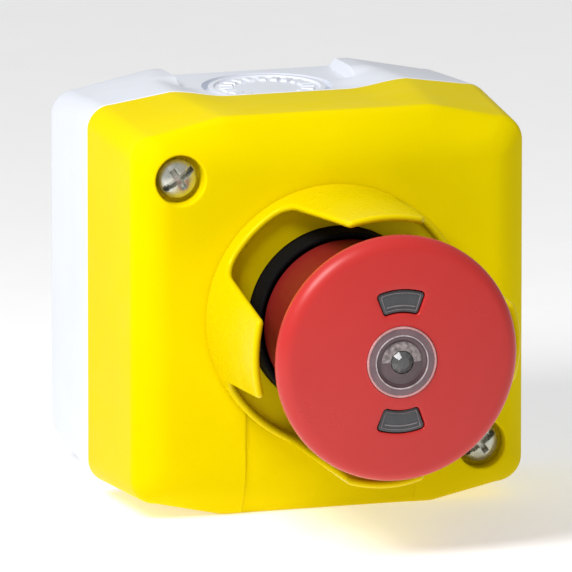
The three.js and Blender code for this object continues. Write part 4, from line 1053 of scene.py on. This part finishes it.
# ---------- guard ----------
def guard_shell():
    """The guard: one cross-section carried round the wavy edge of its four petals."""
    look = bpy.context.scene.stop_operator
    base = GUARD_TOP_RADIUS - GUARD_FLARE
    scale = math.radians(1) * (base + GUARD_FLARE / 2)
    tip, foot, middle = PETAL_TIP * scale, PETAL_FOOT * scale, 45 * scale
    crown = GUARD_HEIGHT - 0.5
    arc = [(s, GUARD_HEIGHT - 0.5 * (s / tip) ** 2, 0) for s in steps_between(0, tip - 1.8, 6)]
    path = soften([*arc, (tip, crown, look.tip_round / MM), (foot, GUARD_RIM, look.foot_round / MM),
                   (middle, GUARD_RIM, 0)], 8)
    fine = []
    for a, b in zip(path, path[1:]):
        parts = max(1, math.ceil(math.dist(a, b) / 1.3))
        fine += [(lerp(a[0], b[0], k / parts), lerp(a[1], b[1], k / parts)) for k in range(parts)]
    fine.append(path[-1])
    mirrored = [(2 * middle - s, h) for s, h in reversed(fine[1:-1])]
    quarter = fine + mirrored
    lap = 4 * 2 * middle
    whole = [(s + q * 2 * middle, h) for q in range(4) for s, h in quarter]
    half_wall = GUARD_WALL / 2
    count = len(whole)
    gasket_room = GASKET_OUTER + 0.4
    shell = Shell()
    rows = []
    for i, (s, h) in enumerate(whole):
        before, after = whole[i - 1], whole[(i + 1) % count]
        ds = (after[0] - before[0]) % lap
        dh = after[1] - before[1]
        size = math.hypot(ds, dh)
        normal = (-dh / size, ds / size)

        def spot(offset, drop):
            """A point of the wall: offset from its middle, and drop back from its edge."""
            es, eh = s - normal[0] * drop, h - normal[1] * drop
            radius = base + GUARD_FLARE * eh / GUARD_HEIGHT - half_wall + offset
            a = es / scale * math.pi / 180
            return (radius * math.cos(a), -(FACE + eh), radius * math.sin(a))

        def foot_spot(radius, height):
            a = (s - normal[0] * half_wall) / scale * math.pi / 180
            return (radius * math.cos(a), -(FACE + height), radius * math.sin(a))

        section = [foot_spot(GUARD_BORE, GUARD_UNDERSIDE), foot_spot(gasket_room, GUARD_UNDERSIDE),
                   foot_spot(gasket_room, GAP),
                   foot_spot(base - GUARD_CHAMFER, GAP), foot_spot(base, GAP + GUARD_CHAMFER)]
        outer_top = spot(half_wall, half_wall)
        outer_low = foot_spot(base, GAP + GUARD_CHAMFER)
        section += [tuple(lerp(outer_low[n], outer_top[n], t) for n in range(3)) for t in (0.33, 0.66)]
        for k in range(9):
            a = math.pi * k / 8
            section.append(spot(half_wall * math.cos(a), half_wall * (1 - math.sin(a))))
        inner_low = foot_spot(base - GUARD_WALL + 0.08, GUARD_FLOOR + 0.6)
        inner_top = section[-1]
        section += [tuple(lerp(inner_top[n], inner_low[n], t) for n in range(3)) for t in (0.33, 0.66, 1.0)]
        section += [foot_spot(base - GUARD_WALL - 0.12, GUARD_FLOOR + 0.15),
                    foot_spot(base - GUARD_WALL - 0.6, GUARD_FLOOR), foot_spot(SEAT_RADIUS, GUARD_FLOOR),
                    foot_spot(SEAT_RADIUS, GUARD_SEAT), foot_spot(GUARD_BORE, GUARD_SEAT)]
        rows.append(shell.row(section))
    shell.bridge([*rows, rows[0]])
    piece = shell.build("guard_petals", [finish("guard_yellow")])
    settle(piece, "enclosure", "yellow_guard", "guard")


# ---------- operator body ----------
def operator_shell():
    """The thin collar round the head's skirt and the threaded barrel behind it."""
    ramp_end = BARREL_BORE + RAMP_SLOPE * (RAMP_TOP - BARREL_END)
    thread = []
    step = (THREAD_TOP - BARREL_END - 1.0) / THREAD_RIDGES
    for k in range(THREAD_RIDGES):
        h = BARREL_END + 1.0 + k * step
        thread += [(BARREL_RADIUS - THREAD_DEPTH, h, 0.0), (BARREL_RADIUS, h + step / 2, 0.0)]
    profile = soften([
        (BARREL_BORE, FLANGE_TOP, 0), (BARREL_BORE, RAMP_TOP, 0), (ramp_end, BARREL_END, 0),
        (BARREL_RADIUS - 0.7, BARREL_END, 0.1), *thread, (BARREL_RADIUS, -3.6, 0),
        (BARREL_RADIUS, FLANGE_BACK, 0), (BEZEL_RADIUS, FLANGE_BACK, 0.15),
        (BEZEL_RADIUS, BEZEL_TOP, 0.3), (BEZEL_BORE, BEZEL_TOP, 0.25),
        (BEZEL_BORE, FLANGE_TOP, 0.3), (BARREL_BORE, FLANGE_TOP, 0)], 4)
    shell = Shell()
    shell.turned([(r, FACE + h) for r, h in profile], 144)
    piece = shell.build("bezel_and_barrel", [finish("bezel_black")])
    settle(piece, "enclosure", "black_bezel", "operator_body")


# ---------- mushroom head ----------
EDGE_RADIUS = HEAD_RADIUS - HEAD_EDGE + HEAD_EDGE * math.cos(math.radians(EDGE_START))
DOME_FALL = HEAD_FRONT - HEAD_RIM - HEAD_EDGE * math.sin(math.radians(EDGE_START))


def dome_height(radius):
    return HEAD_FRONT - DOME_FALL * (radius / EDGE_RADIUS) ** 2


def window_loop(side, grow, corner):
    """Outline of a window above (side 1) or below (side -1) the lens, grown all round."""
    middle = (WINDOW_INNER + WINDOW_OUTER) / 2
    half_r = (WINDOW_OUTER - WINDOW_INNER) / 2 + grow
    half_u = math.radians(WINDOW_HALF_ANGLE) * middle + grow
    loop = []
    for u, v in rounded_box(half_u, half_r, corner + max(grow, -corner * 0.6), (6, 16)):
        radius = middle + v
        a = side * math.pi / 2 - u / middle
        loop.append((radius * math.cos(a), radius * math.sin(a)))
    return loop


def mushroom_cap_shell():
    """The cap: dome with its lens bore and windows, round edge, flared skirt and inside."""
    look = bpy.context.scene.stop_operator
    corner = look.window_round / MM
    shell = Shell()
    turns = 144
    edge = 0.22
    bore_edge = 0.08
    bore_top = LENS_BORE + bore_edge
    window_edge = [window_loop(side, GAP + edge, corner) for side in (1, -1)]
    for side in (1, -1):
        wall = []
        for r, drop in ((edge, 0.0), (edge * 0.45, edge * 0.16), (edge * 0.12, edge * 0.5), (0.0, edge)):
            loop = window_loop(side, GAP + r, corner)
            wall.append([(px, -(FACE + dome_height(math.hypot(px, pz)) - drop), pz) for px, pz in loop])
        wall.append(at_depth(window_loop(side, GAP, corner), FACE + CAP_INSIDE))
        shell.bridge([shell.row(r) for r in wall])

    def front(px, pz):
        return (px, -(FACE + dome_height(math.hypot(px, pz))), pz)

    def far_from_windows(p):
        radius = math.hypot(*p)
        off = min(abs(math.degrees(math.atan2(p[1], p[0])) - a) for a in (90, -90))
        inside_r = WINDOW_INNER - 1.0 < radius < WINDOW_OUTER + 1.0
        return not (inside_r and off < WINDOW_HALF_ANGLE + 5)

    radii = steps_between(bore_top + 0.4, EDGE_RADIUS - 0.8, 13)
    points = [p for r in radii for p in circle(r, 96) if far_from_windows(p)]
    shell.plate(circle(EDGE_RADIUS, turns), [circle(bore_top, turns), *window_edge], front, points)

    rim = []
    for i in range(EDGE_STEPS + 1):
        a = math.radians(lerp(EDGE_START, EDGE_END, i / EDGE_STEPS))
        rim.append((HEAD_RADIUS - HEAD_EDGE + HEAD_EDGE * math.cos(a), HEAD_RIM + HEAD_EDGE * math.sin(a)))
    flare = [rim[-1]]
    flare += [(lerp(SKIRT_RADIUS, HEAD_RADIUS, share), h) for share, h in FLARE]
    flare.append((SKIRT_RADIUS, FLARE_END))
    under = through(flare, 6)
    cap_floor = CAP_ROOM - CAP_CORNER
    skirt = soften([(SKIRT_RADIUS, FLARE_END, 0), (SKIRT_RADIUS, SKIRT_END, 0.4),
                    (SKIRT_INSIDE, SKIRT_END, 0.3), (SKIRT_INSIDE, LEDGE, 0), (LEDGE_BORE, LEDGE, 0),
                    (LEDGE_BORE, LEDGE_TOP, 0), (CAP_ROOM, CAP_ROOM_START, 0), (CAP_ROOM, CAP_INSIDE, 0.3),
                    (cap_floor, CAP_INSIDE, 0)], 4)
    shell.turned([(r, FACE + h) for r, h in rim], turns)
    # the flare underneath and the skirt take the darker red: painted shade where the head shades its own
    # underside
    shell.turned([(r, FACE + h) for r, h in under + skirt[1:]], turns, material=1)
    stem = LENS_STEM + 0.2
    shell.turned([(bore_top, FACE + dome_height(bore_top)),
                  (LENS_BORE + bore_edge * 0.4, FACE + HEAD_FRONT - 0.1),
                  (LENS_BORE, FACE + HEAD_FRONT - 0.45), (LENS_BORE, FACE + LENS_SEAT),
                  (stem, FACE + LENS_SEAT), (stem, FACE + CAP_INSIDE)], turns)
    inner_windows = [window_loop(side, GAP, corner) for side in (1, -1)]
    shell.plate(circle(cap_floor, turns), [circle(stem, turns), *inner_windows],
                lambda px, pz: (px, -(FACE + CAP_INSIDE), pz))
    piece = shell.build("mushroom_cap_shell", [finish("head_red"), finish("head_red_painted_shade")])
    settle(piece, "head", "red_head", "mushroom_cap")


def window_insert(side, name, node):
    """A smoke insert with a raised outline and an arc on its sunk front."""
    look = bpy.context.scene.stop_operator
    corner = look.window_round / MM
    shell = Shell()
    top = WINDOW_TOP

    def ring(grow, height):
        return at_depth(window_loop(side, grow, corner), FACE + height)

    smoke = [ring(-0.4, WINDOW_BACK), ring(0, WINDOW_BACK + 0.1), ring(0, top - 0.15),
             ring(-0.05, top - 0.04), ring(-0.15, top), ring(-0.42, top)]
    shell.bridge([shell.row(r) for r in smoke])
    # the raised outline is real, and its lighter colour is a painted highlight
    line = [ring(-0.42, top), ring(-0.44, top + 0.08), ring(-0.52, top + 0.08), ring(-0.54, top - 0.1)]
    shell.bridge([shell.row(r) for r in line], material=1)
    floor = window_loop(side, -0.54, corner)
    middle = [(px * 0.96, pz) for px, pz in window_loop(side, -0.9, corner)]
    shell.plate(floor, [], lambda px, pz: (px, -(FACE + top - 0.1), pz), middle)
    shell.plate(window_loop(side, -0.4, corner), [], lambda px, pz: (px, -(FACE + WINDOW_BACK), pz))
    low = WINDOW_INNER + 1.0 if side > 0 else WINDOW_OUTER - 1.2
    high = low + 0.18
    half = math.radians(WINDOW_HALF_ANGLE - 5)
    # the arc is raised as well and takes the same painted highlight colour
    arc = []
    for radius, height in ((low, top - 0.11), (low, top + 0.05), (high, top + 0.05), (high, top - 0.11)):
        arc.append([])
        for i in range(13):
            a = side * math.pi / 2 + lerp(-half, half, i / 12)
            arc[-1].append((radius * math.cos(a), -(FACE + height), radius * math.sin(a)))
    rows = [shell.row(r) for r in arc]
    shell.bridge([*rows, rows[0]], closed=False, material=1)
    for end in (0, -1):
        shell.faces.append(tuple(r[end] for r in rows))
        shell.materials.append(1)
    piece = shell.build(name, [finish("window_smoke"), finish("window_line_highlight")])
    settle(piece, "head", "smoke_window", node)


def window_inserts():
    window_insert(1, "window_upper_insert", "window_upper")
    window_insert(-1, "window_lower_insert", "window_lower")


LENS_FINISHES = ("lens_clear", "lens_edge", "lens_frost", "lens_ring", "lens_mauve", "lens_core",
                 "lens_glint")


def centre_lens_piece():
    """A flanged lens: edge ring, frosted field, bright ring, hollow and faceted core."""
    look = bpy.context.scene.stop_operator
    core = look.head_pip / MM
    top = HEAD_FRONT
    shell = Shell()
    turns = 96

    def band(material, points, upper=None):
        """A ring of the lens, whose upper half can have a material of its own; the lens uses it for a
        painted reflection.
        """
        start = len(shell.materials)
        shell.turned([(r, FACE + h) for r, h in points], turns, material=LENS_FINISHES.index(material))
        if upper is None:
            return
        for k in range(start, len(shell.materials)):
            if (k - start) % turns < turns // 2:
                shell.materials[k] = LENS_FINISHES.index(upper)

    band("lens_clear", [(0, LENS_BACK), (LENS_STEM - 0.3, LENS_BACK), (LENS_STEM, LENS_BACK + 0.3),
                        (LENS_STEM, LENS_SEAT + GAP), (LENS_RADIUS - 0.1, LENS_SEAT + GAP),
                        (LENS_RADIUS, LENS_SEAT + 0.3)])
    band("lens_edge", [(LENS_RADIUS, LENS_SEAT + 0.3), (LENS_RADIUS, top - 0.1),
                       (LENS_RADIUS - 0.06, top + 0.06), (LENS_RADIUS - 0.18, top + 0.12),
                       (LENS_RADIUS - 0.32, top + 0.06), (LENS_RADIUS - 0.38, top - 0.05)])
    band("lens_frost", [(LENS_RADIUS - 0.38, top - 0.05), (LENS_RADIUS - 0.7, top - 0.02),
                        (4.42, top + 0.02)])
    band("lens_ring", [(4.42, top + 0.02), (4.39, top + 0.14), (4.31, top + 0.19), (4.23, top + 0.14),
                       (4.2, top - 0.02)])
    band("lens_mauve", [(4.2, top - 0.02), (4.05, top - 0.22), (3.6, top - 0.34), (3.3, top - 0.3)])
    # the upper half of this band takes the lighter glint material: a painted reflection
    band("lens_mauve", [(3.3, top - 0.3), (3.0, top - 0.16), (2.4, top - 0.04), (core + 0.1, top + 0.02)],
         upper="lens_glint")
    facets = 10
    for i in range(facets):
        a, b = 2 * math.pi * i / facets, 2 * math.pi * (i + 1) / facets
        low = [(r * math.cos(t), -(FACE + h), r * math.sin(t)) for r, h, t in
               ((core + 0.1, top - 0.1, a), (core + 0.1, top - 0.1, b), (core * 0.55, LENS_TOP - 0.12, b),
                (core * 0.55, LENS_TOP - 0.12, a))]
        row = shell.row([*low, (0, -(FACE + LENS_TOP), 0)])
        shell.faces.append((row[0], row[1], row[2], row[3]))
        shell.faces.append((row[3], row[2], row[4]))
        shell.materials += [LENS_FINISHES.index("lens_core")] * 2
    piece = shell.build("centre_lens_dome", [finish(n) for n in LENS_FINISHES], sharp=16)
    settle(piece, "head", "clear_lens", "centre_lens")


# ---------- springs ----------
def coil(name, x, radius, wire, low, high, turns):
    """A compression spring whose two ends are closed flat against their seats."""
    steps = int(turns * 28)
    sides = 10
    bends = [2 * math.pi * k / sides for k in range(sides)]
    along = Vector((0, 1, 0))
    shell = Shell()
    rows = []
    for i in range(steps + 1):
        t = i / steps
        a = t * turns * 2 * math.pi
        depth = low + wire / 2 + (high - low - wire) * t
        out = Vector((math.cos(a), 0.0, math.sin(a)))
        centre = Vector((x, -depth, 0.0)) + out * radius
        section = [centre + out * (wire / 2) * math.cos(b) + along * (wire / 2) * math.sin(b) for b in bends]
        rows.append(shell.row([tuple(p) for p in section]))
    shell.bridge(rows)
    for row in (rows[0], rows[-1]):
        shell.faces.append(tuple(row))
        shell.materials.append(0)
    return shell.build(name, [finish("spring_steel")])


def springs():
    """The return spring and the two contact springs, built as fixed coils; in the real station they shorten
    as the head goes in.
    """
    wire = bpy.context.scene.stop_operator.spring_wire / MM
    outer = reach("return_spring", X, HIGH)
    piece = coil("return_spring_coil", 0.0, outer - wire / 2, wire, SPRING_LOW, SPRING_HIGH,
                 RETURN_TURNS)
    settle(piece, "enclosure", "spring_steel", "return_spring")
    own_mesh(piece)
    for side in ("left", "right"):
        node = "contact_spring_" + side
        middle = (reach(node, X, LOW) + reach(node, X, HIGH)) / 2
        low, high = -reach(node, Y, HIGH), -reach(node, Y, LOW)
        radius = (reach(node, X, HIGH) - reach(node, X, LOW)) / 2 - CONTACT_WIRE / 2
        piece = coil(node + "_coil", middle, radius, CONTACT_WIRE, low, high, CONTACT_TURNS)
        settle(piece, "enclosure", "spring_steel", node)
        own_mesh(piece)


# ---------- pieces kept from the frame ----------
FRAME_FINISHES = {
    "black_rubber": "rubber_black", "black_bezel": "bezel_black", "white_plastic": "white_acetal",
    "spring_steel": "spring_steel", "brass": "brass", "nickel_screw": "screw_nickel",
    "grey_block": "block_grey", "green_block": "block_green", "clear_lens": "lens_clear",
    "indicator": "white_acetal",
}
BUILT_ANEW = ("operator_body", "centre_lens", "return_spring", "contact_spring_left", "contact_spring_right",
              "cover_screw_upper", "cover_screw_lower")
SOFT_EDGE = 0.12


def inner_pieces():
    """Gives the pieces inside the box their finishes and softened edges."""
    shown = {p["node"]: p["material_slot"] for p in frame["record"]["subparts"]}
    for name, slot in sorted(shown.items()):
        if slot not in FRAME_FINISHES or name in BUILT_ANEW:
            continue
        node = frame["nodes"][name]
        node.data.materials.clear()
        node.data.materials.append(finish(FRAME_FINISHES[slot]))
        bevel = node.modifiers.new("soft_edges", "BEVEL")
        bevel.width = SOFT_EDGE * MM
        bevel.segments = 2
        bevel.limit_method = "ANGLE"
        bevel.angle_limit = math.radians(35)
        bevel.harden_normals = False


# ---------- stage ----------
def area_light(name, place, size, power):
    """A round light that faces the middle of the station's front."""
    data = bpy.data.lights.new(name, "AREA")
    data.shape = "DISK"
    data.size = size
    data.energy = power
    lamp = bpy.data.objects.new(name, data)
    lamp.location = place
    lamp.rotation_euler = (Vector(LIT_POINT) - Vector(place)).to_track_quat("-Z", "Y").to_euler()
    bpy.context.scene.collection.objects.link(lamp)


def stage_and_camera():
    """A pale floor, two soft lights with an even sky, and a long-lens camera."""
    scene = bpy.context.scene
    look = scene.stop_stage
    target = Vector(VIEW_CENTRE) * MM
    yaw, pitch = look.yaw, look.pitch
    back = Vector((-math.sin(yaw) * math.cos(pitch), -math.cos(yaw) * math.cos(pitch), math.sin(pitch)))
    data = bpy.data.cameras.new("camera")
    data.sensor_width = 36
    data.lens = data.sensor_width * look.distance / look.view_width
    data.clip_start = 0.1
    data.clip_end = 20
    camera = bpy.data.objects.new("camera", data)
    camera.location = target + back * look.distance
    camera.rotation_euler = back.to_track_quat("Z", "Y").to_euler()
    scene.collection.objects.link(camera)
    scene.camera = camera

    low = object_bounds()[0][Z]
    corners = [(x * FLOOR_HALF, y * FLOOR_HALF, low) for x, y in ((-1, -1), (1, -1), (1, 1), (-1, 1))]
    mesh = bpy.data.meshes.new("floor")
    mesh.from_pydata(corners, [], [(0, 1, 2, 3)])
    mesh.materials.append(finish("floor"))
    floor = bpy.data.objects.new("floor", mesh)
    scene.collection.objects.link(floor)
    floor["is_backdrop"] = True

    world = bpy.data.worlds.new("studio")
    scene.world = world
    world.use_nodes = True
    sky = world.node_tree.nodes["Background"]
    sky.inputs["Color"].default_value = WHITE
    sky.inputs["Strength"].default_value = look.sky
    area_light("key", KEY_PLACE, KEY_SIZE, look.key_power)
    area_light("fill", FILL_PLACE, FILL_SIZE, look.fill_power)
    scene.view_settings.view_transform = "Standard"


# ---------- operators ----------
class STOP_OT_stage(bpy.types.Operator):
    """Add the floor, the studio light and the camera"""
    bl_idname = "stop_station.stage"
    bl_label = "Stage and camera"
    bl_options = {"REGISTER", "UNDO"}

    def execute(self, context):
        stage_and_camera()
        return {"FINISHED"}


class STOP_OT_rear_case(bpy.types.Operator):
    """Build the rear case with its cable entries"""
    bl_idname = "stop_station.rear_case"
    bl_label = "Rear case"
    bl_options = {"REGISTER", "UNDO"}

    def execute(self, context):
        rear_case_shell()
        return {"FINISHED"}


class STOP_OT_front_cover(bpy.types.Operator):
    """Build the bevelled front cover"""
    bl_idname = "stop_station.front_cover"
    bl_label = "Front cover"
    bl_options = {"REGISTER", "UNDO"}

    def execute(self, context):
        front_cover_shell()
        return {"FINISHED"}


class STOP_OT_screws(bpy.types.Operator):
    """Build the two cover screws"""
    bl_idname = "stop_station.screws"
    bl_label = "Cover screws"
    bl_options = {"REGISTER", "UNDO"}

    def execute(self, context):
        cover_screws()
        return {"FINISHED"}


class STOP_OT_guard(bpy.types.Operator):
    """Build the guard with its four petals"""
    bl_idname = "stop_station.guard"
    bl_label = "Guard"
    bl_options = {"REGISTER", "UNDO"}

    def execute(self, context):
        guard_shell()
        return {"FINISHED"}


class STOP_OT_operator_body(bpy.types.Operator):
    """Build the collar and threaded barrel"""
    bl_idname = "stop_station.operator_body"
    bl_label = "Operator body"
    bl_options = {"REGISTER", "UNDO"}

    def execute(self, context):
        operator_shell()
        return {"FINISHED"}


class STOP_OT_mushroom_cap(bpy.types.Operator):
    """Build the mushroom cap"""
    bl_idname = "stop_station.mushroom_cap"
    bl_label = "Mushroom cap"
    bl_options = {"REGISTER", "UNDO"}

    def execute(self, context):
        mushroom_cap_shell()
        return {"FINISHED"}


class STOP_OT_windows(bpy.types.Operator):
    """Build the two window inserts"""
    bl_idname = "stop_station.windows"
    bl_label = "Windows"
    bl_options = {"REGISTER", "UNDO"}

    def execute(self, context):
        window_inserts()
        return {"FINISHED"}


class STOP_OT_lens(bpy.types.Operator):
    """Build the centre lens"""
    bl_idname = "stop_station.lens"
    bl_label = "Centre lens"
    bl_options = {"REGISTER", "UNDO"}

    def execute(self, context):
        centre_lens_piece()
        return {"FINISHED"}


class STOP_OT_springs(bpy.types.Operator):
    """Build the springs as fixed coils; the real ones shorten when the head is pressed"""
    bl_idname = "stop_station.springs"
    bl_label = "Springs"
    bl_options = {"REGISTER", "UNDO"}

    def execute(self, context):
        springs()
        return {"FINISHED"}


class STOP_OT_inner(bpy.types.Operator):
    """Finish the pieces inside the box"""
    bl_idname = "stop_station.inner"
    bl_label = "Inner pieces"
    bl_options = {"REGISTER", "UNDO"}

    def execute(self, context):
        inner_pieces()
        return {"FINISHED"}


OPERATORS = (
    STOP_OT_stage,
    STOP_OT_rear_case,
    STOP_OT_front_cover,
    STOP_OT_screws,
    STOP_OT_guard,
    STOP_OT_operator_body,
    STOP_OT_mushroom_cap,
    STOP_OT_windows,
    STOP_OT_lens,
    STOP_OT_springs,
    STOP_OT_inner,
)


class STOP_PT_panel(bpy.types.Panel):
    """Lists the pieces of the station and their settings"""
    bl_label = "Stop Station"
    bl_idname = "STOP_PT_panel"
    bl_space_type = "VIEW_3D"
    bl_region_type = "UI"
    bl_category = "Stop Station"

    def draw(self, context):
        layout = self.layout
        for cls in OPERATORS:
            layout.operator(cls.bl_idname)
        for name, group in SETTINGS.items():
            box = layout.box()
            settings = getattr(context.scene, name)
            for key in group.__annotations__:
                box.prop(settings, key)


def register():
    for name, group in SETTINGS.items():
        bpy.utils.register_class(group)
        setattr(bpy.types.Scene, name, PointerProperty(type=group))
    for cls in (*OPERATORS, STOP_PT_panel):
        bpy.utils.register_class(cls)


def unregister():
    for cls in reversed((*OPERATORS, STOP_PT_panel)):
        bpy.utils.unregister_class(cls)
    for name, group in reversed(SETTINGS.items()):
        delattr(bpy.types.Scene, name)
        bpy.utils.unregister_class(group)


def main():
    register()
    for cls in OPERATORS:
        family, name = cls.bl_idname.split(".")
        getattr(getattr(bpy.ops, family), name)()


if __name__ == "__main__":
    main()
